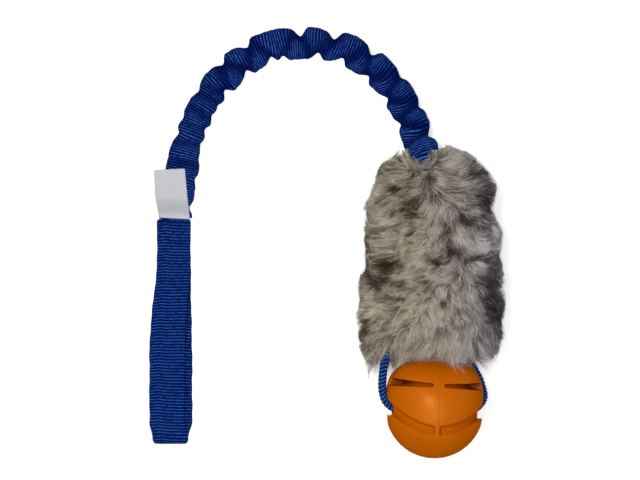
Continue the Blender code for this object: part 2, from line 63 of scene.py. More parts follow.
# Studio: square lamps with their place, size and power, and how bright the surround and floor are.
LAMPS = (
    ("key", (-0.16, 0.30, 1.20), 0.20, 5.6),
    ("overhead", (0.02, -0.35, 1.40), 1.00, 9.0),
)
SURROUND_LIGHT = 0.26
FLOOR_GLOW = 0.56
FLOOR_SIZE = 2.5
FLOOR_DROP = 0.0002

# Webbing: ribs across it at a pitch in mm, woven with a broken lighter line along each rib that is a
# painted highlight.
RIB_PITCH = 2.0
RIB_HEIGHT = 0.20 * MM

# Handle: the same driving sizes as the frame's.
HANDLE_X = -0.1020
WEBBING_WIDTH = 0.0232
WEBBING_THICKNESS = 0.0026
SEAM_TOP_Y = 0.0570
SEAM_LENGTH = 0.0170
SEAM_HEIGHT = 0.0076
LOOP_HEIGHT = 0.0142
LOOP_RAMP = 0.0400
FOLD_Y = -0.0860
FRONT_LEAN = -0.0034
BACK_LEAN = 0.0018
FOLD_LEAN = -0.0010
LAYER = 0.00122
HANDLE_STEP = 0.00025
STITCH_BOX = (-0.1101, -0.0928, 0.0412, 0.0536)
STITCH_PITCH = 0.0029
STITCH_LENGTH = 0.0023
STITCH_RADIUS = 0.00030
STITCH_SIDES = 8
# How thick a stitch is at shares of its length.
STITCH_SHAPE = ((0.0, 0.35), (0.2, 0.9), (0.5, 1.0), (0.8, 0.9), (1.0, 0.35))
HEM_RADIUS = 0.00125

# Label: folded double, rooted at the seam, lying over the sleeve.
LABEL_SIZE = (0.0207, 0.0322)
LABEL_ROOT_X = -0.1004
LABEL_LEAN = -0.0033
LABEL_TOP = 0.0186
LABEL_THICKNESS = 0.00017
LABEL_GAP = 0.00040

# Bungee: its middle from the handle's seam to its end in the fur.
BUNGEE_ROUTE = (
    (-0.0997, 0.0573, 0.0032),
    (-0.0997, 0.0598, 0.0033),
    (-0.0997, 0.0640, 0.0051),
    (-0.0991, 0.0730, 0.0086),
    (-0.0974, 0.0825, 0.0091),
    (-0.0953, 0.0930, 0.0089),
    (-0.0920, 0.1060, 0.0089),
    (-0.0870, 0.1193, 0.0089),
    (-0.0803, 0.1327, 0.0089),
    (-0.0720, 0.1453, 0.0089),
    (-0.0620, 0.1563, 0.0089),
    (-0.0493, 0.1655, 0.0089),
    (-0.0353, 0.1715, 0.0089),
    (-0.0193, 0.1740, 0.0089),
    (-0.0033, 0.1730, 0.0089),
    (0.0120, 0.1687, 0.0089),
    (0.0260, 0.1607, 0.0089),
    (0.0383, 0.1500, 0.0089),
    (0.0480, 0.1373, 0.0090),
    (0.0550, 0.1240, 0.0104),
    (0.0600, 0.1113, 0.0140),
    (0.0637, 0.1000, 0.0182),
    (0.0665, 0.0900, 0.0215),
)
# Creases of the sleeve's edges, in mm: place along it and depth.
OUTER_CREASES = (
    (56, 2.8),
    (66, 1.8),
    (86, 2.4),
    (108, 5.0),
    (126, 5.8),
    (160, 7.6),
    (181, 6.4),
    (206, 6.2),
    (228, 3.2),
    (249, 2.6),
    (269, 4.6),
)
INNER_CREASES = (
    (9, 0.9),
    (29, 1.6),
    (54, 2.0),
    (65, 2.8),
    (76, 2.6),
    (84, 2.6),
    (96, 5.6),
    (117, 5.2),
    (138, 5.4),
    (147, 3.8),
    (173, 6.0),
    (191, 5.4),
    (213, 4.6),
    (234, 4.4),
    (255, 3.6),
)
# Folds over the top of the sleeve, in mm: place, depth, width, and slant to the inner side.
TOP_FOLDS = (
    (38, 3.2, 2.0, 1.0),
    (52, 2.6, 1.6, 1.0),
    (64, 2.0, 1.2, 1.0),
    (74, 3.0, 1.6, -1.0),
    (85, 3.0, 1.6, 1.0),
    (92, 2.8, 1.5, 2.0),
    (102, 4.0, 1.8, -5.0),
    (113, 4.0, 1.8, 5.0),
    (124, 3.6, 1.6, -5.0),
    (134, 3.6, 1.8, 5.0),
    (152, 3.4, 1.6, -5.0),
    (163, 3.6, 1.6, 5.0),
    (178, 4.4, 2.6, -5.0),
    (197, 4.4, 2.2, -5.0),
    (208, 3.2, 1.3, 3.0),
    (219, 4.4, 2.2, -5.0),
    (230, 3.4, 1.3, 3.0),
    (240, 4.4, 2.0, -5.0),
    (250, 3.4, 1.3, 3.0),
    (259, 4.4, 2.0, -5.0),
    (270, 3.4, 1.3, 3.0),
)
# Half width of the sleeve in mm on each side: at its start, then steps of place, run and change.
INNER_WIDTH = (9.9, (8, 5, 1.9), (36, 8, -1.9), (88, 12, 1.0), (168, 20, -2.0))
OUTER_WIDTH = (10.2, (88, 8, 0.6), (182, 8, 1.7))
# Half widths and half heights in mm, of the sleeve and of its flat sewn end, and its folds.
SLEEVE_LEAST_WIDTH = 4.0
SLEEVE_HEIGHT = 8.4
FLAT_END_WIDTH = 11.0
FLAT_END_HEIGHT = 2.6
DEEPEST_FOLD = 4.6
CREASE_ROUND = 1.2
SLEEVE_STEP = 0.00025
SLEEVE_SIDES = 72
CORE_RADIUS = 0.0033
CORE_START = 0.0150
CORE_STEP = 0.0012

# Fur: the same body as the frame's, with its hide drawn in under the pile.
FUR_X = 0.0703
FUR_TOP_Y = 0.1040
FUR_BOTTOM_Y = -0.0338
FUR_HALF_WIDTH = 0.0468
FUR_HALF_THICKNESS = 0.0255
FUR_NECK_SHARE = 0.83
FUR_SWELL_RATE = 1.5
FUR_TOP_ROUND = 0.0290
FUR_TOP_POWER = 2.4
FUR_BOTTOM_ROUND = 0.0180
FUR_BOTTOM_POWER = 3.0
FUR_TOP_TAPER = 0.0400
FUR_BOTTOM_TAPER = 0.0320
FUR_TAPER_POWER = 2.0
FUR_WIDTH_POWER = 0.85
FUR_HEIGHT_POWER = 0.90
FUR_TOP_Z = 0.0215
FUR_BOTTOM_Z = 0.0300
GROUND_CUT = 0.0005
TUFT_RISE = 0.0056
TUFT_SPACING = (0.0330, 0.0200, 0.0260)
TUFT_SHIFT = (8.51, 0.0, 0.0)
TUFT_FADE = 0.0180
HIDE_INSET = 0.0045
HIDE_RINGS = 110
HIDE_SIDES = 150
STRANDS = 76000
LOCKS = 3000
STRAND_LEVELS = 5
STRAND_RADIUS = 0.00016
STRAND_LENGTH = 0.0118
PILE_PIECES = 7
PILE_SEED = 7
# How hairs and locks grow: spread of their lay, least length as a share, least lift and its range,
# then how far they lean over at their ends, in radians.
STRAND_GROWTH = (0.25, 0.70, 0.40, 0.45)
LOCK_GROWTH = (0.35, 0.75, 0.30, 0.55)
LENGTH_RANGE = 0.55
STRAND_BEND = 1.45
LOCK_BEND = 1.50
# Outline of the pile against the body's, in mm: place along it, and how far out on the left and
# on the right.
OUTLINE = (
    (99, -6.0, -2.5),
    (93, -5.0, -1.0),
    (86, -4.5, 1.0),
    (76, -2.5, 1.2),
    (67, -1.2, -2.7),
    (61, 1.7, -3.5),
    (55, -0.7, -3.0),
    (46, -3.3, -2.0),
    (37, -5.5, -1.0),
    (32, -4.5, -2.7),
    (23, -5.5, -3.0),
    (15, -2.8, 0.0),
    (6, -2.0, 2.0),
    (-4, -1.7, 0.0),
    (-14, 1.5, -1.5),
    (-27, 1.5, -1.5),
    (-35, -2.0, -3.0),
    (-44, -1.0, -3.0),
)
# The line that the pile keeps to at its top, with a tuft beside the sleeve.
TOP_LINE = (
    (0.0400, 0.0950),
    (0.0525, 0.1025),
    (0.0750, 0.1000),
    (0.0807, 0.1055),
    (0.0867, 0.1015),
    (0.0917, 0.0998),
    (0.1017, 0.0983),
    (0.1060, 0.0920),
)
# The pile parts here, low down and at the top, as shares of the half width from the middle.
PARTINGS = (0.30, -0.16)
# How far a hair may pass the outline, and how far a lock curls.
HAIR_REACH = 0.0044
CURL = 0.0007
# The end of the sleeve lies in a hollow of the fur.
HOLLOW_FROM = (0.0600, 0.1113, 0.0140)
HOLLOW_TO = (0.0628, 0.1035, 0.0170)
HOLLOW_REACH = 0.0105
HOLLOW_SLOPE = 4.0
# Markings of the fur in mm, some of them painted shade at its edges and by the cord: place, reach
# across and along, and how much darker or paler.
FUR_MARKS_AND_SHADE = (
    (44, 77, 3, 3, 0.8),
    (61, 69, 14, 3, 0.5),
    (57, 59, 6, 3, 0.9),
    (71, 81, 3, 3, 0.6),
    # The next two darken the pile's right edge: painted shade.
    (102, 86, 12, 5, 0.8),
    (109, 69, 7, 13, 0.9),
    (95, 55, 8, 5, 0.6),
    (57, 49, 2, 4, 0.6),
    (87, 34, 9, 4, 1.0),
    (102, 29, 12, 3, 0.7),
    (71, 29, 7, 4, 0.5),
    (28, 40, 3, 10, 0.5),
    (41, 25, 9, 4, 1.0),
    (31, 13, 6, 4, 0.9),
    (65, 15, 5, 3, 0.6),
    (54, 10, 8, 2, 0.8),
    (43, 3, 7, 2, 0.7),
    (81, -1, 4, 4, 1.0),
    (51, -13, 3, 4, 0.7),
    (85, -15, 3, 5, 0.8),
    (25, -18, 4, 7, 0.7),
    # The next two darken the pile's right and left edges: painted shade.
    (113, 3, 7, 23, 1.0),
    (24, 30, 4, 20, 0.5),
    (110, 50, 4, 8, 0.6),
    (102, -30, 6, 8, 0.5),
    (101, 38, 8, 5, -0.6),
    (66, -10, 13, 14, -0.7),
    (88, -28, 12, 9, -0.6),
    (70, 36, 15, 26, -0.2),
    # The next one darkens the hair between the cord and the top of the ball: painted shade.
    (44, -40, 5, 4, 0.7),
    (33, -42, 5, 4, 0.6),
    (56, 41, 12, 7, -0.4),
    (84, 99, 10, 5, -0.3),
    (50, 93, 10, 8, -0.3),
)

# Ball: a lathed body, fuller at two shoulders, with its grooves.
BALL_CENTRE = Vector((0.0730, -0.0701, 0.0328))
BALL_RADIUS = 0.0328
BALL_TURN = math.radians(4.7)
SHOULDER_POWER = 1.2
BALL_BORE_RADIUS = 0.0034
BORE_LIP_RADIUS = 0.0105
BORE_STRAIGHT = 0.0215
BORE_FLARE = 1.6
SLOT_LOW_WALL = (0.0145, -0.6)
SLOT_HIGH_WALL = (0.0171, 2.3)
SLOT_TILT = math.radians(-3.2)
# The slots are shallower than the frame's, so that their floors catch light.
SLOT_FLOOR_RADIUS = 0.0282
SLOT_BRIDGE = 0.0078
SLOT_REACH = math.radians(79)
SMILE_LOW_WALL = (-0.0176, 13.7)
SMILE_HIGH_WALL = (-0.0114, 15.7)
SMILE_TILT = math.radians(-2.5)
SMILE_FLOOR_RADIUS = 0.0295
SMILE_BRIDGE = 0.0036
SMILE_REACH = math.radians(94)
SLOT = (SLOT_FLOOR_RADIUS, (SLOT_LOW_WALL, SLOT_HIGH_WALL), SLOT_BRIDGE, SLOT_REACH, SLOT_TILT)
SMILE = (SMILE_FLOOR_RADIUS, (SMILE_LOW_WALL, SMILE_HIGH_WALL), SMILE_BRIDGE, SMILE_REACH, SMILE_TILT)
CUTTER_RADIUS = 0.0400
BALL_SEGMENTS = 144
BALL_RINGS = 96
CUTTER_STEPS = 90
BALL_VOXEL = 0.00050
PARTING_X = 0.0030

# Ball cord: an endless braid, measured from the ball's centre. Most of these points were moved
# from the frame's, by up to 6 mm, so its solid lies a little away from it.
CORD_RADIUS = 0.0028
CORD_ROUTE = (
    (0.0000, 0.0000, 0.0000),
    (-0.0200, 0.0000, 0.0016),
    (-0.0270, 0.0009, 0.0024),
    (-0.0322, 0.0050, 0.0040),
    (-0.0346, 0.0120, 0.0062),
    (-0.0347, 0.0200, 0.0078),
    (-0.0338, 0.0280, 0.0086),
    (-0.0315, 0.0360, 0.0070),
    (-0.0280, 0.0440, 0.0040),
    (-0.0225, 0.0530, 0.0010),
    (-0.0120, 0.0595, -0.0040),
    (0.0000, 0.0612, -0.0055),
    (0.0110, 0.0580, -0.0070),
    (0.0185, 0.0480, -0.0110),
    (0.0226, 0.0350, -0.0140),
    (0.0262, 0.0270, -0.0152),
    (0.0296, 0.0205, -0.0150),
    (0.0314, 0.0150, -0.0138),
    (0.0328, 0.0085, -0.0102),
    (0.0300, 0.0030, -0.0048),
    (0.0240, 0.0002, -0.0020),
)
CORD_STEP = 0.00024
CORD_SIDES = 40
BAND_STARTS = 3
BAND_PITCH = 0.0025


class Finish:
    """A material and short calls for the nodes that it is made of."""

    def __init__(self, name):
        self.material = bpy.data.materials.new(name)
        self.material.use_nodes = True
        self.tree = self.material.node_tree
        self.shader = self.tree.nodes["Principled BSDF"]

    def put(self, socket, value):
        if isinstance(value, bpy.types.NodeSocket):
            self.tree.links.new(value, socket)
        elif value is not None:
            socket.default_value = value

    def add(self, kind, out=0, settings=None, **inputs):
        node = self.tree.nodes.new("ShaderNode" + kind)
        for key, value in (settings or {}).items():
            setattr(node, key, value)
        for key, value in inputs.items():
            self.put(node.inputs[key.replace("_", " ")], value)
        return node.outputs[out]

    def cloth(self):
        return self.add("UVMap", settings={"uv_map": "Cloth"})

    def place(self):
        return self.add("TexCoord", out=3)

    def stored(self, name):
        return self.add("Attribute", out=2, settings={"attribute_name": name})

    def math(self, operation, first, second=None):
        node = self.tree.nodes.new("ShaderNodeMath")
        node.operation = operation
        for socket, value in zip(node.inputs, (first, second)):
            self.put(socket, value)
        return node.outputs[0]

    def times(self, first, second):
        return self.math("MULTIPLY", first, second)

    def gap(self, first, second):
        return self.math("ABSOLUTE", self.math("SUBTRACT", first, second))

    def wave(self, value, pitch):
        return self.math("SINE", self.times(value, 2 * math.pi / pitch))

    def split(self, vector):
        node = self.tree.nodes.new("ShaderNodeSeparateXYZ")
        self.put(node.inputs[0], vector)
        return node.outputs

    def join(self, x, y, z):
        node = self.tree.nodes.new("ShaderNodeCombineXYZ")
        for socket, value in zip(node.inputs, (x, y, z)):
            self.put(socket, value)
        return node.outputs[0]

    def noise(self, vector, scale, detail=3.0, roughness=0.55):
        return self.add("TexNoise", Vector=vector, Scale=scale, Detail=detail, Roughness=roughness)

    def range(self, value, low, high, to_low=0.0, to_high=1.0):
        node = self.tree.nodes.new("ShaderNodeMapRange")
        for socket, given in zip(node.inputs, (value, low, high, to_low, to_high)):
            self.put(socket, given)
        return node.outputs[0]

    def mix(self, share, first, second):
        node = self.tree.nodes.new("ShaderNodeMix")
        node.data_type = "RGBA"
        for key, value in ((0, share), (6, first), (7, second)):
            self.put(node.inputs[key], (*value, 1.0) if isinstance(value, tuple) else value)
        return node.outputs[2]

    def bump(self, height, distance, strength=1.0, normal=None):
        return self.add("Bump", Height=height, Distance=distance, Strength=strength, Normal=normal)

    def close(self, colour, roughness, normal=None, **constants):
        self.put(self.shader.inputs["Base Color"], colour)
        self.put(self.shader.inputs["Roughness"], roughness)
        self.put(self.shader.inputs["Normal"], normal)
        for key, value in constants.items():
            self.shader.inputs[key.replace("_", " ")].default_value = value
        return self.material


def webbing_finish(name, painted_fold_shade=0.0):
    """Ribbed tube webbing: navy, with a thin broken line of lighter thread along each rib, a painted
    highlight, and painted shade in the gaps between ribs.

    The second argument darkens the cloth with painted shade where its attribute "fold" is high.
    """
    made = Finish(name)
    cloth = made.cloth()
    across, along, _ = made.split(cloth)
    rib = made.math("DIVIDE", along, RIB_PITCH)
    phase = made.math("FRACT", rib)
    number = made.math("FLOOR", rib)
    wander = made.noise(made.join(made.times(across, 0.22), rib, 0.0), 1.6, 2.0)
    shift = made.times(number, 0.47)
    dash = made.math("FRACT", made.math("ADD", made.math("DIVIDE", across, 1.15), shift))
    broken = made.range(made.gap(dash, 0.5), 0.12, 0.34)
    crest = made.math("POWER", made.wave(phase, 2.0), 1.2)
    # The thin broken line near each rib's crest is a painted highlight.
    line = made.range(made.gap(phase, 0.60), 0.04, 0.15, 1.0, 0.0)
    rib_highlight = made.times(line, made.range(broken, 0.0, 1.0, 0.50, 1.0))
    rib_highlight = made.times(rib_highlight, made.range(wander, 0.36, 0.58, 0.15, 1.0))
    # Painted shade: the cloth is darker in the gaps between ribs than on their crests.
    body = made.mix(crest, (0.0005, 0.0055, 0.070), (0.0022, 0.0190, 0.140))
    # The painted highlight is brighter on the gathered sleeve.
    bright = (0.100, 0.260, 0.820) if painted_fold_shade else (0.060, 0.176, 0.570)
    colour = made.mix(rib_highlight, body, bright)
    if painted_fold_shade:
        # Painted shade in the folds of the gathered sleeve.
        shade = made.times(made.stored("fold"), painted_fold_shade)
        colour = made.mix(shade, colour, (0.0004, 0.0042, 0.066))
    fuzz = made.noise(made.place(), 2600.0, 2.0)
    strand = made.wave(across, 0.65)
    height = made.math("ADD", made.times(strand, 0.25), fuzz)
    normal = made.bump(height, 0.00010, 0.6)
    roughness = made.range(fuzz, 0.3, 0.7, 0.62, 0.80)
    return made.close(colour, roughness, normal, Specular_IOR_Level=0.0)


def thread_finish():
    made = Finish("navy_thread")
    place = made.place()
    ply = made.noise(place, 1800.0, 2.0)
    colour = made.mix(ply, (0.0012, 0.0040, 0.030), (0.0060, 0.0200, 0.090))
    return made.close(colour, 0.6, made.bump(ply, 0.00008), Specular_IOR_Level=0.1)


def satin_finish():
    """Woven white satin, bare, with its fine cross weave and a soft grey shade."""
    made = Finish("white_satin")
    cloth = made.cloth()
    across, along, _ = made.split(cloth)
    weft = made.wave(along, 0.45)
    warp = made.wave(across, 0.60)
    shade = made.noise(cloth, 0.11, 2.0)
    weave = made.math("ADD", weft, made.times(warp, 0.5))
    tint = made.mix(made.range(shade, 0.30, 0.70), (0.60, 0.61, 0.64), (0.70, 0.70, 0.72))
    thread = made.range(weave, -1.5, 1.5)
    tint = made.mix(thread, (0.52, 0.53, 0.57), tint)
    normal = made.bump(weave, 0.00005, 0.7)
    return made.close(tint, 0.38, normal, Specular_IOR_Level=0.25, Anisotropic=0.5)


def fur_finish():
    """Pile hairs: painted shade at the root, mottled by lock, warmer on the left, cooler on the right.
    """
    made = Finish("mottled_fur")
    tip = made.stored("tip")
    tone = made.stored("tone")
    place = made.place()
    across, _, _ = made.split(place)
    cool = made.range(across, FUR_X - 0.010, FUR_X + 0.036)
    pale = made.mix(cool, (0.88, 0.79, 0.64), (0.80, 0.76, 0.75))
    dark = made.mix(cool, (0.080, 0.050, 0.028), (0.062, 0.048, 0.046))
    mottled = made.mix(made.range(tone, 0.15, 0.85), dark, pale)
    # Painted shade: hairs darken towards the root, where the pile shadows itself.
    shade = made.mix(0.62, mottled, (0.05, 0.040, 0.032))
    colour = made.mix(made.range(tip, 0.0, 0.40), shade, mottled)
    return made.close(colour, 0.70, Specular_IOR_Level=0.12)


def hide_finish():
    """The dense underfur close to the hide."""
    made = Finish("fur_underside")
    place = made.place()
    patch = made.noise(place, 90.0, 3.0)
    wool = made.noise(place, 900.0, 3.0)
    colour = made.mix(made.range(patch, 0.35, 0.65), (0.14, 0.115, 0.090), (0.36, 0.32, 0.27))
    return made.close(colour, 0.95, made.bump(wool, 0.0008))


def rubber_finish():
    """Moulded orange rubber with a fine skin, a mould line, faint handling marks and painted shade in
    its slots.
    """
    made = Finish("orange_rubber")
    place = made.place()
    x, _, _ = made.split(place)
    grain = made.noise(place, 1100.0, 3.0)
    cloud = made.noise(place, 55.0, 3.0)
    line = made.gap(x, BALL_CENTRE.x + PARTING_X)
    ridge = made.range(line, 0.0001, 0.0004, 1.0, 0.0)
    colour = made.mix(made.range(cloud, 0.3, 0.7), (0.525, 0.109, 0.0004), (0.570, 0.125, 0.0008))
    # Painted shade in the slots, where the ball's attribute asks for it.
    colour = made.mix(made.times(made.stored("painted_slot_shade"), 0.72), colour, (0.130, 0.012, 0.0004))
    skin = made.bump(grain, 0.00005, 0.4)
    normal = made.bump(ridge, 0.00015, 0.8, skin)
    roughness = made.range(cloud, 0.3, 0.7, 0.34, 0.38)
    facing = made.add("LayerWeight", out=1)
    sheen = made.range(facing, 0.02, 0.28, 0.52, 0.0)
    made.put(made.shader.inputs["Specular IOR Level"], sheen)
    return made.close(colour, roughness, normal, Specular_Tint=(1.0, 0.50, 0.12, 1.0))


def braid_finish():
    """Blue cord: pale bands that wind round it, on dark navy, their crowns a painted highlight and the
    grooves between them painted shade.
    """
    made = Finish("blue_braid")
    cloth = made.cloth()
    turn, along, _ = made.split(cloth)
    phase = made.math("ADD", made.times(turn, BAND_STARTS), along)
    crown = made.math("ABSOLUTE", made.wave(phase, 2.0))
    place = made.place()
    fleck = made.noise(place, 900.0, 2.0)
    # Painted shade: darker between the bands than on their crowns.
    body = made.mix(made.range(crown, 0.30, 0.80), (0.0004, 0.0055, 0.044), (0.0020, 0.024, 0.140))
    # The pale flecked crown of each band is a painted highlight.
    share = made.times(made.range(crown, 0.70, 0.97), made.range(fleck, 0.36, 0.56))
    colour = made.mix(share, body, (0.040, 0.165, 0.500))
    return made.close(colour, 0.5, made.bump(fleck, 0.00008), Specular_IOR_Level=0.04)


def plain_finish(name, low, high, scale, roughness, depth):
    """A mottled cloth or wadding for what lies inside."""
    made = Finish(name)
    place = made.place()
    cloud = made.noise(place, scale, 4.0)
    colour = made.mix(made.range(cloud, 0.3, 0.7), low, high)
    return made.close(colour, roughness, made.bump(cloud, depth))


def seen_rays(tree):
    """1 for rays from the camera, off shiny things and through clear ones, 0 for light on others."""
    path = tree.nodes.new("ShaderNodeLightPath")
    total = path.outputs["Is Camera Ray"]
    for kind in ("Is Glossy Ray", "Is Transmission Ray"):
        either = tree.nodes.new("ShaderNodeMath")
        either.operation = "MAXIMUM"
        tree.links.new(total, either.inputs[0])
        tree.links.new(path.outputs[kind], either.inputs[1])
        total = either.outputs[0]
    return total


def floor_finish():
    """White to the camera and in reflections, and still shaded by the toy."""
    made = Finish("pale_floor")
    made.put(made.shader.inputs["Emission Strength"], made.times(seen_rays(made.tree), FLOOR_GLOW))
    made.shader.inputs["Emission Color"].default_value = (1.0, 1.0, 1.0, 1.0)
    return made.close((0.90, 0.90, 0.90, 1.0), 1.0, Specular_IOR_Level=0.0)


def ease(share):
    share = np.clip(share, 0.0, 1.0)
    return share * share * (3 - 2 * share)


def hump(value, centre, width):
    """A bell curve, 1 at its centre."""
    return np.exp(-(((value - centre) / width) ** 2))


def unit(vectors, least=0.0):
    """Vectors made one long, where they are longer than the least."""
    return vectors / np.maximum(np.linalg.norm(vectors, axis=-1), least)[..., None]


def smooth_route(points, step, closed=False, parts=24):
    """Even points on the Catmull-Rom curve through given ones, as an array."""
    knots = np.array(points, float)
    count = len(knots)
    spans = count if closed else count - 1
    beyond = "wrap" if closed else "clip"
    t = (np.arange(parts) / parts)[:, None]
    fine = []
    for index in range(spans):
        near = knots.take(range(index - 1, index + 3), axis=0, mode=beyond)
        before, start, end, after = near
        fine.append(
            0.5
            * (
                2 * start
                + (end - before) * t
                + (2 * before - 5 * start + 4 * end - after) * t**2
                + (3 * start - before - 3 * end + after) * t**3
            )
        )
    fine = np.concatenate(fine + [knots[:1] if closed else knots[-1:]])
    along = np.concatenate([[0.0], np.cumsum(np.linalg.norm(np.diff(fine, axis=0), axis=1))])
    pieces = round(along[-1] / step)
    goals = np.linspace(0.0, along[-1], pieces + 1)
    if closed:
        goals = goals[:-1]
    even = np.stack([np.interp(goals, along, fine[:, axis]) for axis in range(3)], axis=1)
    return even, goals, along[-1]


def route_frames(points, closed=False):
    """Unit vectors aside and up at each point of a route."""
    if closed:
        ahead = np.roll(points, -1, axis=0) - np.roll(points, 1, axis=0)
    else:
        ahead = np.gradient(points, axis=0)
    ahead = unit(ahead)
    aside = unit(np.cross(ahead, (0.0, 0.0, 1.0)))
    return aside, np.cross(aside, ahead)


def beside_route(points, aside, up, sideways, high):
    """A grid of places at distances aside and up from each point of a route."""
    return points[:, None] + aside[:, None] * sideways[..., None] + up[:, None] * high[..., None]


def linked(name, data):
    made = bpy.data.objects.new(name, data)
    bpy.context.scene.collection.objects.link(made)
    return made


def mesh_piece(name, data, finish, smooth=True):
    data.materials.append(finish)
    if smooth:
        data.shade_smooth()
    return linked(name, data)


def mesh_of(work, name, closed=True):
    """The mesh that a bmesh holds, its faces turned outward if it is closed."""
    if closed:
        bmesh.ops.recalc_face_normals(work, faces=work.faces)
    data = bpy.data.meshes.new(name)
    work.to_mesh(data)
    work.free()
    return data


def join_rings(work, rings):
    """Faces from each ring of vertices to the next."""
    for first, second in zip(rings, rings[1:]):
        for side in range(len(first)):
            after = (side + 1) % len(first)
            work.faces.new((first[side], first[after], second[after], second[side]))


def grid_tube(name, points, across, along, finish, closed=False):
    """A tube over a grid of points, rows along it and columns round it, with its cloth map.

    across and along give the map in mm, with one column more than the points for the seam,
    and one row more on a closed tube. Either may be a single row or column.
    """
    rows, sides = points.shape[:2]
    index = np.arange(rows * sides).reshape(rows, sides)
    if closed:
        index = np.concatenate([index, index[:1]])
    index = np.concatenate([index, index[:, :1]], axis=1)
    quads = np.stack([index[:-1, :-1], index[:-1, 1:], index[1:, 1:], index[1:, :-1]], axis=-1)
    quads = quads.reshape(-1, 4)
    uv = np.stack(np.broadcast_arrays(across, along), axis=-1)
    corners = np.stack([uv[:-1, :-1], uv[:-1, 1:], uv[1:, 1:], uv[1:, :-1]], axis=-2)
    corners = corners.reshape(-1, 2)
    flat = points.reshape(-1, 3)
    ends = []
    if not closed:
        ends = [list(index[0, :-1]), list(index[-1, :-1])[::-1]]
        end_uv = np.concatenate([uv[0, :-1], uv[-1, :-1][::-1]])
        corners = np.concatenate([corners, end_uv])
    if volume_of(flat, quads) < 0:
        quads = quads[:, ::-1]
        corners[: quads.size] = corners[: quads.size].reshape(-1, 4, 2)[:, ::-1].reshape(-1, 2)
    else:
        ends = [end[::-1] for end in ends]
    data = bpy.data.meshes.new(name)
    data.from_pydata(flat.tolist(), [], quads.tolist() + [[int(at) for at in end] for end in ends])
    layer = data.uv_layers.new(name="Cloth")
    layer.uv.foreach_set("vector", corners.astype(np.float32).ravel())
    return mesh_piece(name, data, finish)


def volume_of(points, quads):
    a, b, c, d = (points[quads[:, k]] for k in range(4))
    return float((np.cross(b, c) * a).sum() + (np.cross(c, d) * a).sum())


def rib_profile(along):
    """Rounded ribs across the cloth, from 0 in the gaps to 1 on the crests."""
    return np.abs(np.sin(math.pi * along / RIB_PITCH)) ** 0.7


def camera():
    data = bpy.data.cameras.new("camera")
    data.type = "ORTHO"
    data.ortho_scale = VIEW_WIDTH
    data.clip_end = 10.0
    made = linked("camera", data)
    made.location = (*VIEW_CENTRE, CAMERA_HEIGHT)
    bpy.context.scene.camera = made


def lamp(name, place, size, energy):
    """A soft square lamp that faces the toy."""
    data = bpy.data.lights.new(name, "AREA")
    data.size = size
    data.energy = energy
    made = linked(name, data)
    made.location = place
    made.rotation_euler = (-Vector(place)).to_track_quat("-Z", "Y").to_euler()


def studio():
    """A pale floor, a white surround and soft light from above."""
    scene = bpy.context.scene
    scene.view_settings.view_transform = "Standard"
    for values in LAMPS:
        lamp(*values)
    world = bpy.data.worlds.new("studio")
    scene.world = world
    world.use_nodes = True
    tree = world.node_tree
    surround = tree.nodes["Background"]
    level = tree.nodes.new("ShaderNodeMapRange")
    level.inputs["To Min"].default_value = SURROUND_LIGHT
    level.inputs["To Max"].default_value = 1.0
    tree.links.new(seen_rays(tree), level.inputs["Value"])
    tree.links.new(level.outputs[0], surround.inputs["Strength"])
    surround.inputs["Color"].default_value = (1.0, 1.0, 1.0, 1.0)
    work = bmesh.new()
    bmesh.ops.create_grid(work, x_segments=2, y_segments=2, size=FLOOR_SIZE)
    bmesh.ops.translate(work, verts=work.verts, vec=(0.0, 0.0, -FLOOR_DROP))
    data = mesh_of(work, "floor", closed=False)
    mesh_piece("floor", data, floor_finish(), smooth=False)


def gather(off, width):
    """A gathered fold: the cloth sinks slowly towards it and springs up sharply after it."""
    before = np.exp(-((np.maximum(-off, 0.0) / (2.0 * width)) ** 1.4))
    after = np.exp(-((np.maximum(off, 0.0) / (1.4 * width)) ** 2.0))
    return before * after


def crease_sum(along, creases):
    """How far a row of creases draws the edge in, in mm, at places along in mm."""
    total = np.zeros_like(along)
    for place, depth in creases:
        total += depth * gather(along - place, 1.9)
        total -= 0.12 * depth * hump(along - place, 4.2, 1.8)
    reach = np.arange(-12, 13)
    blur = np.exp(-((reach * SLEEVE_STEP / MM / CREASE_ROUND) ** 2) / 2)
    padded = np.pad(total.ravel(), 12, mode="edge")
    return np.convolve(padded, blur / blur.sum(), mode="valid").reshape(total.shape)


def stepped(along, widths):
    """A width along the sleeve that starts at the first value and eases over the steps."""
    start, *steps = widths
    return start + sum(change * ease((along - place) / run) for place, run, change in steps)


def sleeve_shape(along, turn):
    """Offsets aside and up in mm of the sleeve's skin, and how deep in a fold it is, for the painted
    shade of its folds.
    """
    across = np.cos(turn)
    rise = np.sin(turn)
    inner_fold = crease_sum(along, INNER_CREASES)
    outer_fold = crease_sum(along, OUTER_CREASES)
    inner = stepped(along, INNER_WIDTH) - inner_fold
    wide = np.where(across > 0, inner, stepped(along, OUTER_WIDTH) - outer_fold)
    wide = np.maximum(wide, SLEEVE_LEAST_WIDTH)
    folds = np.zeros_like(along + turn)
    shade = np.zeros_like(along + turn)
    for place, depth, width, slant in TOP_FOLDS:
        folds += depth * gather(along - place - slant * across, width)
        # The shade of a top fold reaches a little wider than the fold itself: painted shade.
        shade += depth * gather(along - place - slant * across, 1.3 * width)
    folds = DEEPEST_FOLD * np.tanh(folds / DEEPEST_FOLD)
    flat = ease(1 - along / 18)
    high = (SLEEVE_HEIGHT - folds) * (1 - flat) + FLAT_END_HEIGHT * flat
    width = wide + (FLAT_END_WIDTH - wide) * ease(1 - along / 7)
    sideways = np.sign(across) * np.abs(across) ** (1 - 0.25 * flat)
    # Painted shade deepens in the side creases and in the top folds.
    side_fold = np.where(across > 0, inner_fold, outer_fold) / 6.0 * np.abs(across) ** 3
    top_fold = 1.3 * shade / DEEPEST_FOLD * (0.45 + 0.55 * np.abs(rise))
    return sideways * width, rise * high, np.clip(top_fold + side_fold, 0.0, 1.0)


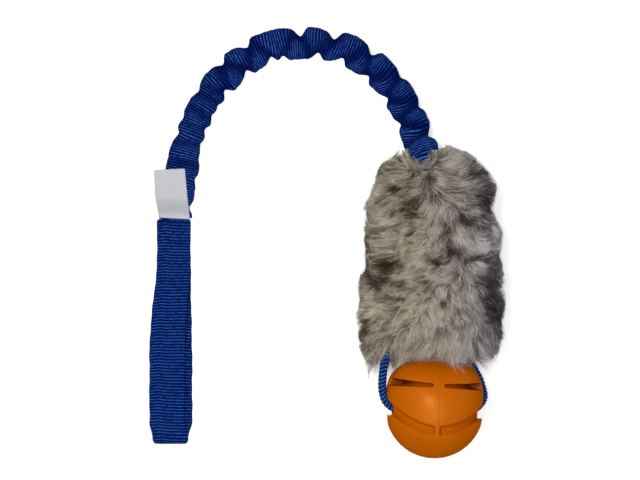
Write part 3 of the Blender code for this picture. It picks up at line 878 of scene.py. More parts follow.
def bungee_sleeve(finish):
    """The ruched sleeve: gathers, folds over its top, ribs that follow them, and painted shade in its
    folds.
    """
    points, places, length = smooth_route(BUNGEE_ROUTE, SLEEVE_STEP)
    aside, up = route_frames(points)
    along = (places / MM)[:, None]
    turn = np.linspace(0.0, 2 * math.pi, SLEEVE_SIDES + 1)[None, :]
    sideways, high, fold = sleeve_shape(along, turn)
    wobble = ripple(along, turn)
    sideways = sideways * (1 + 0.03 * wobble)
    high = high + 0.5 * wobble * np.sin(turn)
    skin = beside_route(points, aside, up, sideways * MM, high * MM)
    middle = SLEEVE_SIDES // 4
    steps = np.linalg.norm(np.diff(skin[:, middle], axis=0), axis=1) / MM
    travelled = np.concatenate([[0.0], np.cumsum(0.35 * steps + 0.65 * np.diff(along[:, 0]))])
    # The ribs bow between the gathers, arch over the top past the crown, and waver.
    bow = 0.9 * np.sin(2 * math.pi * along / 22.0) * np.cos(turn)
    arch = -2.6 * np.sin(turn) ** 2 * (0.5 + 0.5 * np.cos(2 * math.pi * (along - 203) / 21.5))
    arch = arch * ease((along - 176) / 16) + 1.2 * ripple(along * 0.4, turn * 0.5)
    cloth = 1.13 * travelled[:, None] + bow + arch
    skin = skin + unit(skin - points[:, None]) * (rib_profile(cloth) * RIB_HEIGHT)[..., None]
    skin[..., 2] = np.maximum(skin[..., 2], 0.0004)
    made = grid_tube("bungee_sleeve_cloth", skin[:, :-1], turn * 8.8, cloth, finish)
    # The painted fold shade is kept on the sleeve for its material.
    attribute(made.data, "fold", fold[:, :-1].ravel())
    path = points[:: round(0.004 / SLEEVE_STEP)]
    return made, [tuple(point) for point in path], length


def ripple(along, turn):
    """Small uneven waves in the gathered cloth, from -1 to 1."""
    waves = np.sin(along * 0.61 + 2.0 * np.sin(turn)) * np.cos(along * 0.23 + turn)
    return waves * 0.6 + 0.4 * np.sin(along * 1.13 + 3 * turn) * np.sin(along * 0.37)


def bungee_core(finish):
    """The elastic inside the sleeve, with the small ridges of its braided cover."""
    points, places, _ = smooth_route(BUNGEE_ROUTE, CORE_STEP)
    keep = places > CORE_START
    ahead = points[-1] - points[-2]
    ahead /= np.linalg.norm(ahead)
    tail = points[-1] + ahead * np.arange(1, 6)[:, None] * CORE_STEP
    points = np.concatenate([points[keep], tail])
    aside, up = route_frames(points)
    turn = np.linspace(0.0, 2 * math.pi, 25)[None, :]
    along = np.arange(len(points))[:, None] * (CORE_STEP / MM)
    radius = CORE_RADIUS - 0.0002 + 0.0001 * np.sin(4 * turn + along) * np.sin(4 * turn - along)
    skin = beside_route(points, aside, up, radius * np.cos(turn), radius * np.sin(turn))
    return grid_tube("bungee_elastic", skin[:, :-1], turn * 3.3, along, finish)


def front_underside(y):
    seam_bottom = SEAM_TOP_Y - SEAM_LENGTH
    low = SEAM_HEIGHT - WEBBING_THICKNESS
    high = LOOP_HEIGHT - WEBBING_THICKNESS
    return low + (high - low) * ease((seam_bottom - y) / LOOP_RAMP)


def strand_shift(y, z):
    """How far the strands lean sideways: the front one left, the back one right."""
    down = ease((SEAM_TOP_Y - SEAM_LENGTH - y) / (2 * LOOP_RAMP))
    near_fold = ease((FOLD_Y + 0.0070 - y) / 0.0110)
    front = ease((z - WEBBING_THICKNESS) / (LOOP_HEIGHT - 2 * WEBBING_THICKNESS))
    lean = BACK_LEAN + (FRONT_LEAN - BACK_LEAN) * front
    return down * (lean + (FOLD_LEAN - lean) * near_fold)


def handle_route():
    """The middle of the webbing from the side: back strand, fold, front strand, turned-under end."""
    half = WEBBING_THICKNESS / 2
    back = np.arange(SEAM_TOP_Y, FOLD_Y, -0.0010)
    line = [(y, half) for y in back]
    radius = LOOP_HEIGHT / 2 - half
    for turn in np.linspace(0.0, math.pi, 24):
        line.append((FOLD_Y - radius * math.sin(turn), half + radius * (1 - math.cos(turn))))
    top = SEAM_HEIGHT - LAYER - 0.00005
    end = SEAM_TOP_Y - HEM_RADIUS - LAYER
    for y in np.arange(FOLD_Y + 0.0010, end, 0.0010):
        line.append((y, front_underside(y) + half))
    for turn in np.linspace(0.0, math.pi, 14):
        drop = HEM_RADIUS - HEM_RADIUS * math.cos(turn)
        line.append((end + HEM_RADIUS * math.sin(turn), top - drop))
    for y in np.arange(end - 0.0010, SEAM_TOP_Y - SEAM_LENGTH, -0.0010):
        line.append((y, top - 2 * HEM_RADIUS))
    return [(0.0, y, z) for y, z in line]


def strap_section(half_width, half_thick, flats, rounds):
    """A flattened tube's section: offsets aside and up, and outward directions."""
    flat = np.linspace(-(half_width - half_thick), half_width - half_thick, flats)
    arc = np.linspace(math.pi / 2, -math.pi / 2, rounds + 2)[1:-1]
    top = np.stack([flat, np.full(flats, half_thick), 0 * flat, np.ones(flats)], axis=1)
    round_x = half_width - half_thick + half_thick * np.cos(arc)
    right = np.stack([round_x, half_thick * np.sin(arc), np.cos(arc), np.sin(arc)], axis=1)
    return np.concatenate([top, right, -top, -right])


def handle_webbing(finish):
    """One length of ribbed tube webbing along the loop, its end turned under at the seam."""
    points, places, _ = smooth_route(handle_route(), HANDLE_STEP, parts=6)
    along = (places / MM)[:, None]
    ahead = unit(np.gradient(points, axis=0))
    aside = np.tile([1.0, 0.0, 0.0], (len(points), 1))
    up = np.cross(aside, ahead)
    section = strap_section(WEBBING_WIDTH / 2, LAYER, 25, 5)
    share = section[:, 0] / (WEBBING_WIDTH / 2)
    # It swells in its middle, its edges waver, and its ribs bow on the left and slant a little.
    crown = 1 + 0.10 * (1 - share[None] ** 2) * np.sin(along * 0.05) ** 2
    edge = 1 + 0.014 * np.sin(along * 0.21) + 0.010 * np.sin(along * 0.57)
    bow = -0.55 * hump(share[None], -0.5, 0.22)
    sag = 0.35 * np.sin(along * 0.045) * share[None]
    cloth = along + bow + sag
    lift = rib_profile(cloth) * RIB_HEIGHT
    # It narrows towards the seam and at the very end of its fold.
    sewn = ease((points[:, 1] + 0.020) / 0.050)[:, None]
    sideways = section[None, :, 0] * edge * (1 - 0.050 * sewn) + section[None, :, 2] * lift
    high = section[None, :, 1] * crown + section[None, :, 3] * lift
    skin = beside_route(points, aside, up, sideways, high)
    skin[..., 0] *= 1 - 0.055 * ease((FOLD_Y - 0.0042 - skin[..., 1]) / 0.0030)
    skin[..., 0] += HANDLE_X + strand_shift(skin[..., 1], skin[..., 2]) + 0.0012 * sewn
    # The corners of its top edge are drawn down.
    at_top = ease((skin[..., 1] - SEAM_TOP_Y + 0.0030) / 0.0030)
    skin[..., 1] += at_top * (0.0004 - 0.0016 * np.abs(share[None]) ** 6)
    skin[..., 2] = np.maximum(skin[..., 2], 0.0002)
    around = np.concatenate([section[:, 0], section[:1, 0]]) / MM
    cloth = np.concatenate([cloth, cloth[:, :1]], axis=1)
    return grid_tube("handle_loop", skin, around[None], cloth, finish)


def stitch(work, start, end, high):
    """One thread stitch from start to end, a slim bead sunk in the cloth."""
    a = Vector((*start, high))
    b = Vector((*end, high))
    ahead = (b - a).normalized()
    aside = ahead.cross(Vector((0, 0, 1)))
    rings = []
    for share, size in STITCH_SHAPE:
        ring = []
        for side in range(STITCH_SIDES):
            turn = 2 * math.pi * side / STITCH_SIDES
            offset = aside * math.cos(turn) + Vector((0, 0, 1)) * math.sin(turn)
            ring.append(work.verts.new(a.lerp(b, share) + offset * STITCH_RADIUS * size))
        rings.append(ring)
    join_rings(work, rings)
    work.faces.new(rings[0][::-1])
    work.faces.new(rings[-1])


def handle_stitching(finish):
    """The box and cross that sew the loop to itself."""
    left, right, low, high = STITCH_BOX
    corners = [(left, low), (right, low), (right, high), (left, high)]
    lines = list(zip(corners, corners[1:] + corners[:1]))
    lines += [((left, low), (right, high)), ((left, high), (right, low))]
    work = bmesh.new()
    for start, end in lines:
        a = Vector(start)
        b = Vector(end)
        count = round((b - a).length / STITCH_PITCH)
        gap = (1 - STITCH_LENGTH / STITCH_PITCH) / 2
        for number in range(count):
            first = a.lerp(b, (number + gap) / count)
            last = a.lerp(b, (number + 1 - gap) / count)
            stitch(work, first, last, SEAM_HEIGHT + 0.00012)
    return mesh_piece("handle_stitching", mesh_of(work, "handle_stitching"), finish)


def label_lift(share, aside):
    """Height of the label's middle over its length, with its curled edges."""
    root = SEAM_HEIGHT + 0.0004
    climb = ease(share * LABEL_SIZE[1] / 0.016)
    curl = 0.0011 * aside**2 * np.sin(math.pi * share)
    wave = 0.0007 * np.sin(2 * math.pi * (share * 0.9 + 0.15 * aside))
    return root + (LABEL_TOP - root) * climb + (wave - curl) * climb


def sewn_label(finish):
    """A satin label folded double: two layers joined by a round fold at its free end."""
    width, length = LABEL_SIZE
    shares = np.linspace(0.0, 1.0, 60)
    fold = np.linspace(-math.pi / 2, math.pi / 2, 9)[1:-1]
    line = [(share, -1.0) for share in shares]
    line += [(1.0 + LABEL_GAP / length * math.cos(turn), math.sin(turn)) for turn in fold]
    line += [(share, 1.0) for share in shares[::-1]]
    line = np.array(line)
    asides = np.linspace(-1.0, 1.0, 26)
    share = line[:, 0][:, None]
    side = line[:, 1][:, None]
    across = asides[None, :]
    # The corners of its free end are drawn in, its left side bulges, and both ends are a little askew.
    corner = 0.0006 * np.maximum(0.0, np.abs(across) - 0.9) * 10
    x = LABEL_ROOT_X + LABEL_LEAN * share + across * width / 2 * (1 - 0.02 * np.sin(3 * share))
    x = x - 0.0010 * np.sin(math.pi * share) ** 2 * np.clip(0.4 - across, 0.0, 1.0)
    y = SEAM_TOP_Y + 0.0001 + length * share - corner * share
    y = y - 0.0006 * (1 - share) ** 4 * across + 0.0005 * share * across
    high = label_lift(share, across) + side * LABEL_GAP
    middle = np.stack([x, y, high], axis=-1)
    thick = unit(np.cross(np.gradient(middle, axis=0), np.gradient(middle, axis=1))) * LABEL_THICKNESS
    skin = np.concatenate([middle + thick, (middle - thick)[:, ::-1]], axis=1)
    steps = np.linalg.norm(np.diff(middle[:, 12], axis=0), axis=1)
    lengths = np.cumsum(np.concatenate([[0], steps]))
    around = np.concatenate([asides, asides[::-1], asides[:1]]) * width / 2 / MM
    return grid_tube("satin_label", skin, around[None], (lengths / MM)[:, None], finish)


def end_round(distance, depth, power):
    """How the body closes over a depth at its end, from 0 at the very end to 1."""
    share = np.clip(distance / depth, 0.0, 1.0)
    return (1 - (1 - share) ** power) ** (1 / power)


def fur_section(y, inset):
    """Half width, half thickness and middle height of the fur body at stations y."""
    from_top = FUR_TOP_Y - inset - y
    from_bottom = y - FUR_BOTTOM_Y - inset
    length = FUR_TOP_Y - FUR_BOTTOM_Y - 2 * inset
    swell = FUR_NECK_SHARE + (1 - FUR_NECK_SHARE) * ease(FUR_SWELL_RATE * from_top / length)
    half_width = FUR_HALF_WIDTH * swell - inset
    half_width = half_width * end_round(from_top, FUR_TOP_ROUND, FUR_TOP_POWER)
    half_width = half_width * end_round(from_bottom, FUR_BOTTOM_ROUND, FUR_BOTTOM_POWER)
    full = FUR_HALF_THICKNESS - inset
    half_thickness = full * end_round(from_top, FUR_TOP_TAPER, FUR_TAPER_POWER)
    half_thickness = half_thickness * end_round(from_bottom, FUR_BOTTOM_TAPER, FUR_TAPER_POWER)
    end_z = np.where(from_top < from_bottom, FUR_TOP_Z, FUR_BOTTOM_Z)
    resting = FUR_HALF_THICKNESS - GROUND_CUT
    middle = resting + (end_z - resting) * (1 - half_thickness / full)
    return half_width, half_thickness, middle


def noise_at(places):
    """Smooth noise from about -1 to 1 at each place of an array."""
    values = [noise.noise(Vector(place)) for place in places.reshape(-1, 3)]
    return np.array(values).reshape(places.shape[:-1])


def tuft_rise(places):
    """How far a tuft stands out, or a hollow draws in, at places on the fur's skin."""
    from_end = np.minimum(FUR_TOP_Y - places[..., 1], places[..., 1] - FUR_BOTTOM_Y)
    share = ease(from_end / TUFT_FADE) * ease(places[..., 2] / TUFT_FADE)
    return TUFT_RISE * share * noise_at(places / TUFT_SPACING + TUFT_SHIFT)


def from_sleeve(places):
    """How far places lie from the sleeve's end as seen from above, and its height there."""
    start = np.array(HOLLOW_FROM)
    run = np.array(HOLLOW_TO) - start
    share = ((places[..., :2] - start[:2]) @ run[:2]) / (run[:2] @ run[:2])
    share = np.clip(share, 0.0, 1.0)
    near = start + share[..., None] * run
    return np.linalg.norm((places - near)[..., :2], axis=-1), near[..., 2]


def body_point(step, turn, inset):
    """A point of the smooth fur body, as its middle there and how far out of it the point is."""
    y = FUR_TOP_Y - inset
    y = y - (FUR_TOP_Y - FUR_BOTTOM_Y - 2 * inset) * (1 - np.cos(math.pi * step)) / 2
    half_width, half_thickness, middle = fur_section(y, inset)
    across = np.sign(np.cos(turn)) * np.abs(np.cos(turn)) ** FUR_WIDTH_POWER
    height = np.sign(np.sin(turn)) * np.abs(np.sin(turn)) ** FUR_HEIGHT_POWER
    wide = half_width * across
    off = np.stack([wide, 0 * wide, half_thickness * height], axis=-1)
    base = np.stack([FUR_X + 0 * wide, y + 0 * wide, middle + 0 * wide], axis=-1)
    return base, off


def fur_point(step, turn, inset):
    """A point of the fur body, step from 0 at its top to 1 at its bottom, turn round it."""
    base, off = body_point(step, turn, inset)
    outer_base, outer_off = body_point(step, turn, 0.0)
    away = off / np.maximum(np.linalg.norm(off, axis=-1), 1e-6)[..., None]
    place = base + off + away * tuft_rise(outer_base + outer_off)[..., None]
    gap, height = from_sleeve(place)
    limit = height + 0.0010 + np.maximum(0.0, gap - HOLLOW_REACH) * HOLLOW_SLOPE
    place[..., 2] = np.where(place[..., 2] > height, np.minimum(place[..., 2], limit), place[..., 2])
    return place


def fur_hide(finish):
    """The stuffed body under the pile: it swells, dents a little, and rests flat."""
    steps = np.linspace(0.02, 0.98, HIDE_RINGS)[:, None]
    turns = np.linspace(0.0, 2 * math.pi, HIDE_SIDES + 1)[None, :]
    skin = fur_point(steps, turns, HIDE_INSET)
    centre = np.array([FUR_X, 0.0, FUR_HALF_THICKNESS])
    for row in skin[:, :-1]:
        for point in row:
            dent = noise.noise(Vector(point) * 55.0) * 0.0011
            off = point - centre
            off[1] = 0.0
            point += off / max(np.linalg.norm(off), 0.004) * dent
    skin[..., 2] = np.maximum(skin[..., 2], 0.0010)
    return grid_tube("fur_hide", skin[:, :-1], turns * 30, steps * 140, finish)


def field(places, scale, seed):
    """Smooth noise at places, another one for each seed."""
    return noise_at(places * scale + np.array([3.1, 1.7, 2.3]) * seed)


def pile_roots(random, count):
    """Roots spread evenly over the hide, with the directions out of it."""
    tries = count * 3
    step = random.random(tries)
    turn = random.random(tries) * 2 * math.pi
    small = 0.006
    root = fur_point(step, turn, HIDE_INSET)
    down = fur_point(np.clip(step + small, 0, 1), turn, HIDE_INSET) - root
    aside = fur_point(step, turn + small, HIDE_INSET) - root
    normal = np.cross(down, aside)
    area = np.linalg.norm(normal, axis=1)
    keep = random.random(tries) < area / np.percentile(area, 97)
    gap, height = from_sleeve(root)
    keep &= (gap > HOLLOW_REACH) | (root[:, 2] < height - 0.004)
    keep &= area > 1e-12
    chosen = np.flatnonzero(keep)[:count]
    root = root[chosen]
    normal = normal[chosen] / area[chosen][:, None]
    outward = root - np.array([FUR_X, 0.035, FUR_HALF_THICKNESS])
    normal *= np.sign((normal * outward).sum(1))[:, None]
    return root, normal


def lay_of(root, normal):
    """The way each hair lies: from the parting to both sides, up at the top, down at the bottom."""
    side = (root[:, 0] - FUR_X) / FUR_HALF_WIDTH
    near_top = ease((root[:, 1] - 0.066) / 0.032)
    near_bottom = ease((0.002 - root[:, 1]) / 0.034)
    wild = 0.6 * field(root, 42.0, 1) + 0.8 * field(root, 110.0, 3) + 0.6 * field(root, 230.0, 13)
    low, top = PARTINGS
    parting = low + (top - low) * ease((root[:, 1] - 0.050) / 0.045)
    apart = np.tanh((side - parting + 0.25 * field(root, 60.0, 14)) / 0.45)
    turn = math.pi / 2 * (apart * (1 - 0.75 * near_bottom) - 1 + 0.8 * apart * near_top)
    turn = turn + 1.35 * wild
    lay = np.stack([np.cos(turn), np.sin(turn), 0 * side], axis=1)
    lay -= normal * (lay * normal).sum(1)[:, None]
    lay = unit(lay, 1e-6)
    lay[:, 2] += near_bottom * (0.65 * hump(side, 0.45, 0.28) + 0.7 * hump(side, -0.72, 0.25))
    return unit(lay)


def hair_length(root):
    """Hairs are longer where they hang over the ball, and short by the sleeve's end."""
    side = (root[:, 0] - FUR_X) / FUR_HALF_WIDTH
    near_bottom = ease((-0.010 - root[:, 1]) / 0.018)
    gap, _ = from_sleeve(root)
    near_sleeve = ease(1.6 - gap / HOLLOW_REACH)
    over_ball = hump(side, 0.45, 0.25)
    by_cord = hump(side, -0.72, 0.22)
    longer = 1 + near_bottom * (0.45 + 0.40 * over_ball + 0.6 * by_cord)
    return STRAND_LENGTH * longer * (1 - 0.35 * near_sleeve)


def hair_lines(root, normal, lay, length, lift, bend):
    """Each hair as a line that leaves its root at lift and leans over to bend along its lay."""
    line = np.zeros((len(root), STRAND_LEVELS, 3))
    line[:, 0] = root
    for level in range(1, STRAND_LEVELS):
        share = level / (STRAND_LEVELS - 1)
        lean = lift + (bend - lift) * share**0.8
        ahead = normal * np.cos(lean)[:, None] + lay * np.sin(lean)[:, None]
        line[:, level] = line[:, level - 1] + ahead * (length / (STRAND_LEVELS - 1))[:, None]
    return line


def ball_size(off):
    """Radius of the ball's skin, before its grooves, that goes through places seen from its middle."""
    turn = np.arctan2(off[..., 1], np.abs(off[..., 2]))
    lean = np.maximum(0.0, np.sin(turn))
    power = 2 + SHOULDER_POWER * lean**2
    x = np.abs(off[..., 0])
    r = np.hypot(off[..., 1], off[..., 2])
    return (x**power + r**power) ** (1 / power)


def clear_of_ball(line):
    """Hairs lie on the ball, not in it."""
    off = line - np.array(BALL_CENTRE)
    push = np.maximum(1.0, (BALL_RADIUS + 0.0004) / np.maximum(ball_size(off), 1e-6))
    return np.array(BALL_CENTRE) + off * push[..., None]


def outline(side, y):
    """How far the pile's outline lies from the body's middle at places y, side -1 left or 1 right."""
    grid = np.linspace(FUR_BOTTOM_Y + 0.007, FUR_TOP_Y - 0.003, 140)
    half_width, _, middle = fur_section(grid, 0.0)
    places = np.stack([FUR_X + side * half_width, grid, middle], axis=1)
    knots = np.array(OUTLINE)[::-1] * MM
    wide = half_width + tuft_rise(places)
    wide = np.interp(y, grid, wide) + np.interp(y, knots[:, 0], knots[:, 1 if side < 0 else 2])
    return wide * (1 - 0.12 * ease((FUR_BOTTOM_Y - y) / 0.012))


def trimmed(line, reach):
    """Hairs bend in towards the pile's outline, which they pass by no more than their reach."""
    y = line[..., 1]
    off = line[..., 0] - FUR_X
    limit = np.where(off < 0, outline(-1, y), outline(1, y))
    over = np.maximum(0.0, np.abs(off) - limit)
    held = np.minimum(np.abs(off), limit) + reach * np.tanh(over / reach)
    line[..., 0] = FUR_X + np.sign(off) * held
    top = np.interp(line[..., 0], *np.array(TOP_LINE).T)
    above = np.maximum(0.0, y - top)
    short = 0.5 * reach
    line[..., 1] = np.minimum(y, top) + short * np.tanh(above / short)
    return line


def nearest(points, centres, batch=4000):
    """Which centre is nearest to each point, found a batch at a time to spare memory."""
    found = np.zeros(len(points), int)
    for start in range(0, len(points), batch):
        part = points[start : start + batch]
        gaps = ((part[:, None] - centres[None]) ** 2).sum(2)
        found[start : start + batch] = gaps.argmin(1)
    return found


def marks_and_shade(places):
    """How dark the fur is marked or painted with shade at places, with ragged outlines: above 0 darker,
    below 0 paler.
    """
    x = places[:, 0] / MM + 3.5 * field(places, 150.0, 11)
    y = places[:, 1] / MM + 2.5 * field(places, 150.0, 12)
    dark = np.zeros(len(places))
    pale = np.zeros(len(places))
    for across, along, reach_x, reach_y, strength in FUR_MARKS_AND_SHADE:
        off = ((x - across) / reach_x) ** 2 + ((y - along) / reach_y) ** 2
        mark_or_shade = strength * np.exp(-(off**1.3) * 0.8)
        dark = np.maximum(dark, mark_or_shade)
        pale = np.minimum(pale, mark_or_shade)
    return dark + pale


def grow(random, wanted, spread, least_length, least_lift, lift_range):
    """Roots of hairs or locks, with the direction out, lay, length and lift of each."""
    root, normal = pile_roots(random, wanted)
    count = len(root)
    lay = unit(lay_of(root, normal) + random.normal(0.0, spread, (count, 3)))
    length = hair_length(root) * (least_length + LENGTH_RANGE * random.random(count))
    return root, normal, lay, length, least_lift + lift_range * random.random(count)


def pile_lines():
    """All the hairs, drawn into locks, with each hair's tone."""
    random = np.random.default_rng(PILE_SEED)
    strands = grow(random, STRANDS, *STRAND_GROWTH)
    line = hair_lines(*strands, STRAND_BEND)
    count = len(line)
    lock_root, lock_normal, lock_lay, length, lift = grow(random, LOCKS, *LOCK_GROWTH)
    locks = len(lock_root)
    bend = LOCK_BEND - 0.85 * random.random(locks) ** 2.5
    lock_line = hair_lines(lock_root, lock_normal, lock_lay, length, lift, bend)
    # Each hair is drawn part of the way to the lock that it grows by, most of all at its tip.
    mine = nearest(strands[0], lock_root)
    pull = (0.35 + 0.45 * random.random(count))[:, None, None]
    shares = np.linspace(0.0, 1.0, STRAND_LEVELS)[None, :, None] ** 1.3
    line += (lock_line[mine] - line) * pull * shares
    line += random.normal(0.0, 0.00040, line.shape) * shares
    # Locks curl to and fro.
    wave = np.linspace(0.0, 1.1, STRAND_LEVELS)[None, :] + random.random(locks)[mine][:, None]
    curl = CURL * np.sin(2 * math.pi * wave) * np.linspace(0.0, 1.0, STRAND_LEVELS) ** 0.5
    line += np.cross(lock_lay, lock_normal)[mine][:, None] * curl[..., None]
    # Tufts reach past the outline, and so do a few stray hairs.
    edge = lock_line[:, -1] * np.array([0.0, 1.0, 0.0])
    edge[:, 0] = 0.05 * np.sign(lock_root[:, 0] - FUR_X)
    tuft = ease(0.45 + 1.3 * field(edge, 150.0, 9) + 1.0 * field(edge, 380.0, 10))
    reach = (0.04 + 0.22 * random.random(locks) ** 2 + 1.15 * tuft)[mine]
    stray = 0.12 * random.random(count) + 0.6 * (random.random(count) > 0.93)
    line = trimmed(line, HAIR_REACH * (reach + stray)[:, None])
    line = clear_of_ball(line)
    line[..., 2] = np.maximum(line[..., 2], 0.0003 + 0.0008 * random.random((count, 1)))

    # The tone runs from 0, dark, to 1, pale.
    seen = line[:, STRAND_LEVELS - 2]
    streak = field(seen * np.array([0.45, 1.0, 1.0]), 170.0, 5)
    cloud = field(seen * np.array([0.6, 1.0, 1.0]), 60.0, 6)
    thread = field(seen * np.array([0.36, 1.0, 0.6]), 480.0, 8)
    mark_or_shade = marks_and_shade(seen) * np.clip(1.0 + 1.1 * thread, 0.3, 1.7)
    tone = 0.61 - 0.72 * mark_or_shade + 0.42 * streak + 0.66 * thread + 0.20 * cloud
    tone += random.normal(0.0, 0.13, locks)[mine] + random.normal(0.0, 0.17, count)
    return line, np.clip(tone, 0.0, 1.0)


def fur_pile(finish):
    """The pile as slim three-sided hairs, in a few pieces from the top of the fur down."""
    line, tone = pile_lines()
    order = np.argsort(-line[:, 0, 1])
    pieces = []
    for number, chosen in enumerate(np.array_split(order, PILE_PIECES)):
        name = f"fur_pile_{number + 1}"
        pieces.append(hair_piece(name, line[chosen], tone[chosen], finish))
    return pieces


def hair_piece(name, line, tone, finish):
    """Hairs of one piece: a ring of three points at each level but the last, which is a tip."""
    count, levels = line.shape[:2]
    ahead = unit(np.gradient(line, axis=1), 1e-9)
    aside = unit(np.cross(ahead, (0.13, 0.21, 0.97)), 1e-9)
    over = np.cross(ahead, aside)
    shares = np.linspace(0.0, 1.0, levels)
    radius = STRAND_RADIUS * (1 - 0.85 * shares[:-1] ** 1.5)
    rings = []
    for side in range(3):
        turn = 2 * math.pi * side / 3
        offset = aside[:, :-1] * math.cos(turn) + over[:, :-1] * math.sin(turn)
        rings.append(line[:, :-1] + offset * radius[None, :, None])
    body = np.stack(rings, axis=2).reshape(count, -1, 3)
    points = np.concatenate([body, line[:, -1:]], axis=1)
    per = points.shape[1]
    base = (np.arange(count) * per)[:, None]
    quads = []
    for level in range(levels - 2):
        for side in range(3):
            after = (side + 1) % 3
            low = level * 3
            quads.append((low + side, low + after, low + 3 + after, low + 3 + side))
    last = (levels - 2) * 3
    triangles = [(last + side, last + (side + 1) % 3, per - 1) for side in range(3)]
    triangles.append((2, 1, 0))
    quad_faces = (base[:, None] + np.array(quads)[None]).reshape(-1, 4)
    tri_faces = (base[:, None] + np.array(triangles)[None]).reshape(-1, 3)
    data = bpy.data.meshes.new(name)
    corners = quad_faces.size + tri_faces.size
    data.vertices.add(count * per)
    data.vertices.foreach_set("co", points.astype(np.float32).ravel())
    data.loops.add(corners)
    loops = np.concatenate([quad_faces.ravel(), tri_faces.ravel()])
    data.loops.foreach_set("vertex_index", loops.astype(np.int32))
    data.polygons.add(len(quad_faces) + len(tri_faces))
    quad_starts = np.arange(len(quad_faces)) * 4
    tri_starts = quad_faces.size + np.arange(len(tri_faces)) * 3
    starts = np.concatenate([quad_starts, tri_starts])
    data.polygons.foreach_set("loop_start", starts.astype(np.int32))
    data.update(calc_edges=True)
    data.validate()
    bake_cells(data, count, levels)
    tip = np.concatenate([np.repeat(shares[:-1], 3), [1.0]])
    attribute(data, "tip", np.tile(tip, count))
    attribute(data, "tone", np.repeat(tone, per))
    return mesh_piece(name, data, finish)


def bake_cells(data, count, levels):
    """A map with a cell of its own for each hair, its three sides beside each other in it."""
    columns = math.ceil(math.sqrt(count))
    number = np.arange(count)
    corner = np.stack([number % columns, number // columns], axis=1)[:, None]
    quads = []
    for level in range(levels - 2):
        for side in range(3):
            low = (level + 1) / levels
            high = (level + 2) / levels
            left = side / 3
            right = (side + 1) / 3
            quads += [(left, low), (right, low), (right, high), (left, high)]
    tips = []
    for side in range(3):
        low = (levels - 1) / levels
        tips += [(side / 3, low), ((side + 1) / 3, low), ((side + 0.5) / 3, 1.0)]
    tips += [(0.2, 0.0), (0.8, 0.0), (0.5, 0.8 / levels)]
    cells = []
    for shape in (quads, tips):
        places = np.array(shape)[None] * 0.92 + 0.04
        cells.append(((corner + places) / columns).reshape(-1, 2))
    layer = data.uv_layers.new(name="OFBake")
    layer.uv.foreach_set("vector", np.concatenate(cells).astype(np.float32).ravel())


def attribute(data, name, values):
    """A value at each point of a mesh, for its material."""
    layer = data.attributes.new(name, "FLOAT", "POINT")
    layer.data.foreach_set("value", values.astype(np.float32))


def ball_point(turn, polar):
    """A point of the ball's skin: fuller at the two shoulders that face the fur."""
    lean = max(0.0, math.sin(turn))
    power = 2 + SHOULDER_POWER * lean * lean
    along = -math.cos(polar)
    away = math.sin(polar)
    size = BALL_RADIUS / (abs(along) ** power + abs(away) ** power) ** (1 / power)
    return along * size, away * size


def ball_profile(turn):
    """The ball's closed profile in one half plane through its bore."""
    lip = math.asin(BORE_LIP_RADIUS / BALL_RADIUS)
    sweep = math.pi - 2 * lip
    profile = [ball_point(turn, lip + sweep * step / BALL_RINGS) for step in range(BALL_RINGS + 1)]
    lip_x, lip_r = profile[-1]
    flare = []
    steps = 14
    for step in range(1, steps + 1):
        share = step / steps
        x = lip_x + (BORE_STRAIGHT - lip_x) * share
        flare.append((x, BALL_BORE_RADIUS + (lip_r - BALL_BORE_RADIUS) * (1 - share) ** BORE_FLARE))
    return profile + flare + [(-x, r) for x, r in reversed(flare)]


def ball_skin():
    """The ball before its grooves, as rings that each follow its profile in one half plane."""
    work = bmesh.new()
    rings = []
    for segment in range(BALL_SEGMENTS):
        turn = 2 * math.pi * segment / BALL_SEGMENTS
        ring = []
        for x, r in ball_profile(turn):
            ring.append(work.verts.new((x, r * math.sin(turn), r * math.cos(turn))))
        rings.append(ring)
    join_rings(work, rings + rings[:1])
    return mesh_of(work, "ball_body")


def wall_point(wall, radius, bridge, reach, share):
    """A point of a groove's wall at a radius from the ball's centre, share of its way round."""
    level, curl = wall
    start = math.asin(bridge / 2 / math.sqrt(radius * radius - level * level))
    turn = start + (reach - start) * share
    away = radius
    for _ in range(6):
        height = level + curl * (away * math.sin(turn)) ** 2
        away = math.sqrt(radius * radius - height * height)
    return away * math.sin(turn), height, away * math.cos(turn)


def groove_cutter(floor_radius, walls, bridge, reach, tilt, facing):
    """A cutter that goes round both sides of the ball from the bridge on the side that it faces."""
    low, high = walls
    corners = ((floor_radius, low), (CUTTER_RADIUS, low), (CUTTER_RADIUS, high), (floor_radius, high))
    work = bmesh.new()
    for sign in (-1, 1):
        rings = []
        for step in range(CUTTER_STEPS + 1):
            ring = []
            for radius, wall in corners:
                x, y, z = wall_point(wall, radius, bridge, reach, step / CUTTER_STEPS)
                ring.append(work.verts.new((sign * x, y, z)))
            rings.append(ring)
        join_rings(work, rings)
        work.faces.new(rings[0])
        work.faces.new(rings[-1])
    data = mesh_of(work, "groove")
    data.transform(Matrix.Rotation(tilt, 4, "Z") @ Matrix.Rotation(facing, 4, "Y"))
    return linked("groove", data)


def apply_modifiers(made):
    """Replace an object's mesh by what its modifiers make of it."""
    bpy.context.view_layer.update()
    graph = bpy.context.evaluated_depsgraph_get()
    data = bpy.data.meshes.new_from_object(made.evaluated_get(graph))
    made.modifiers.clear()
    made.data = data


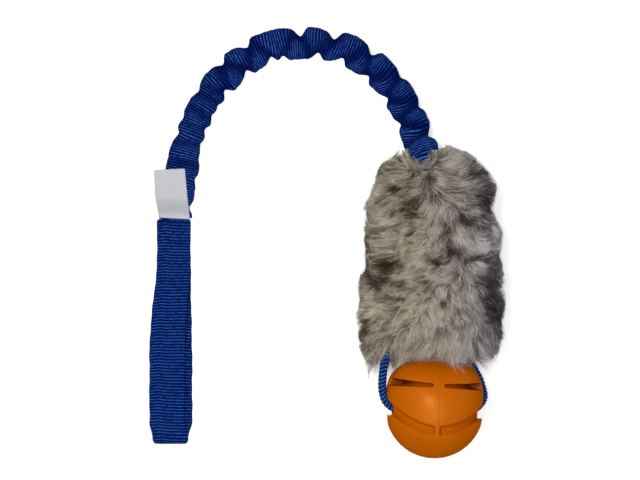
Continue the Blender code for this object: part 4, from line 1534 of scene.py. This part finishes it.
def ball(finish):
    """The rubber ball: its grooves cut, then its lips and floors rounded as moulded rubber is."""
    made = mesh_piece("rubber_ball", ball_skin(), finish)
    cutters = []
    for facing in (0.0, math.pi):
        for groove in (SLOT, SMILE):
            cutters.append(groove_cutter(*groove, facing))
    for cutter in cutters:
        step = made.modifiers.new("groove", "BOOLEAN")
        step.operation = "DIFFERENCE"
        step.object = cutter
    even = made.modifiers.new("even", "REMESH")
    even.mode = "VOXEL"
    even.voxel_size = BALL_VOXEL
    soften = made.modifiers.new("soften", "SMOOTH")
    soften.factor = 0.5
    soften.iterations = 5
    apply_modifiers(made)
    for cutter in cutters:
        bpy.data.objects.remove(cutter, do_unlink=True)
    places = np.zeros(len(made.data.vertices) * 3, np.float32)
    made.data.vertices.foreach_get("co", places)
    places = places.reshape(-1, 3)
    # Painted shade darkens the slots, more so towards their ends.
    sunk = ease((BALL_RADIUS - ball_size(places) - 0.0001) / 0.0007)
    sideways = 0.25 + 0.75 * ease((np.abs(places[:, 0]) - 0.009) / 0.016)
    attribute(made.data, "painted_slot_shade", sunk * (places[:, 1] > 0.008) * sideways)
    made.data.transform(Matrix.Translation(BALL_CENTRE) @ Matrix.Rotation(BALL_TURN, 4, "Y"))
    made.data.shade_smooth()
    return made


def ball_cord(finish):
    """The endless cord, with the bands of its strands winding round it."""
    points, _, length = smooth_route(CORD_ROUTE, CORD_STEP, closed=True)
    points = points + np.array(BALL_CENTRE)
    aside, up = route_frames(points, closed=True)
    turns = np.linspace(0.0, 1.0, CORD_SIDES + 1)[None, :]
    along = np.linspace(0.0, round(length / BAND_PITCH), len(points) + 1)[:, None]
    crown = np.abs(np.sin(math.pi * (BAND_STARTS * turns + along)))
    radius = CORD_RADIUS - 0.00045 + 0.00055 * crown**0.6
    angle = turns[:, :-1] * 2 * math.pi
    inside = radius[:-1, :-1]
    skin = beside_route(points, aside, up, inside * np.cos(angle), inside * np.sin(angle))
    return grid_tube("ball_cord_braid", skin, turns, along, finish, closed=True)


def build():
    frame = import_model()
    camera()
    studio()
    nodes = frame["nodes"]
    webbing = webbing_finish("navy_webbing")
    # The gathered webbing darkens its folds with painted shade.
    gathered = webbing_finish("navy_gathered_webbing", painted_fold_shade=0.86)

    sleeve, path, length = bungee_sleeve(gathered)
    elastic = plain_finish("white_elastic", (0.5, 0.5, 0.48), (0.7, 0.7, 0.68), 600, 0.8, 0.0002)
    core = bungee_core(elastic)
    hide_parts("bungee_sleeve")
    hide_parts("bungee_core")
    for piece in (sleeve, core):
        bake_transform(piece)

    handle = handle_webbing(webbing)
    stitches = handle_stitching(thread_finish())
    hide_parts("handle_webbing")
    for piece in (handle, stitches):
        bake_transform(piece)

    label = sewn_label(satin_finish())
    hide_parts("sewn_label")
    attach(label, "bungee")

    hide = fur_hide(hide_finish())
    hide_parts("fur_cover")
    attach(hide, "tug")
    for pile in fur_pile(fur_finish()):
        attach(pile, "tug")

    rubber = ball(rubber_finish())
    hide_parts("ball")
    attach(rubber, "ball")

    cord = ball_cord(braid_finish())
    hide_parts("ball_cord")
    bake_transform(cord)

    inside = (
        ("fur_filling", "white_wadding", (0.66, 0.65, 0.61), (0.82, 0.81, 0.78), 300, 0.98, 0.002),
        ("inner_strap", "black_strapping", (0.02, 0.02, 0.022), (0.05, 0.05, 0.055), 900, 0.75, 0.0004),
    )
    for node, *values in inside:
        nodes[node].data.materials[0] = plain_finish(*values)


build()
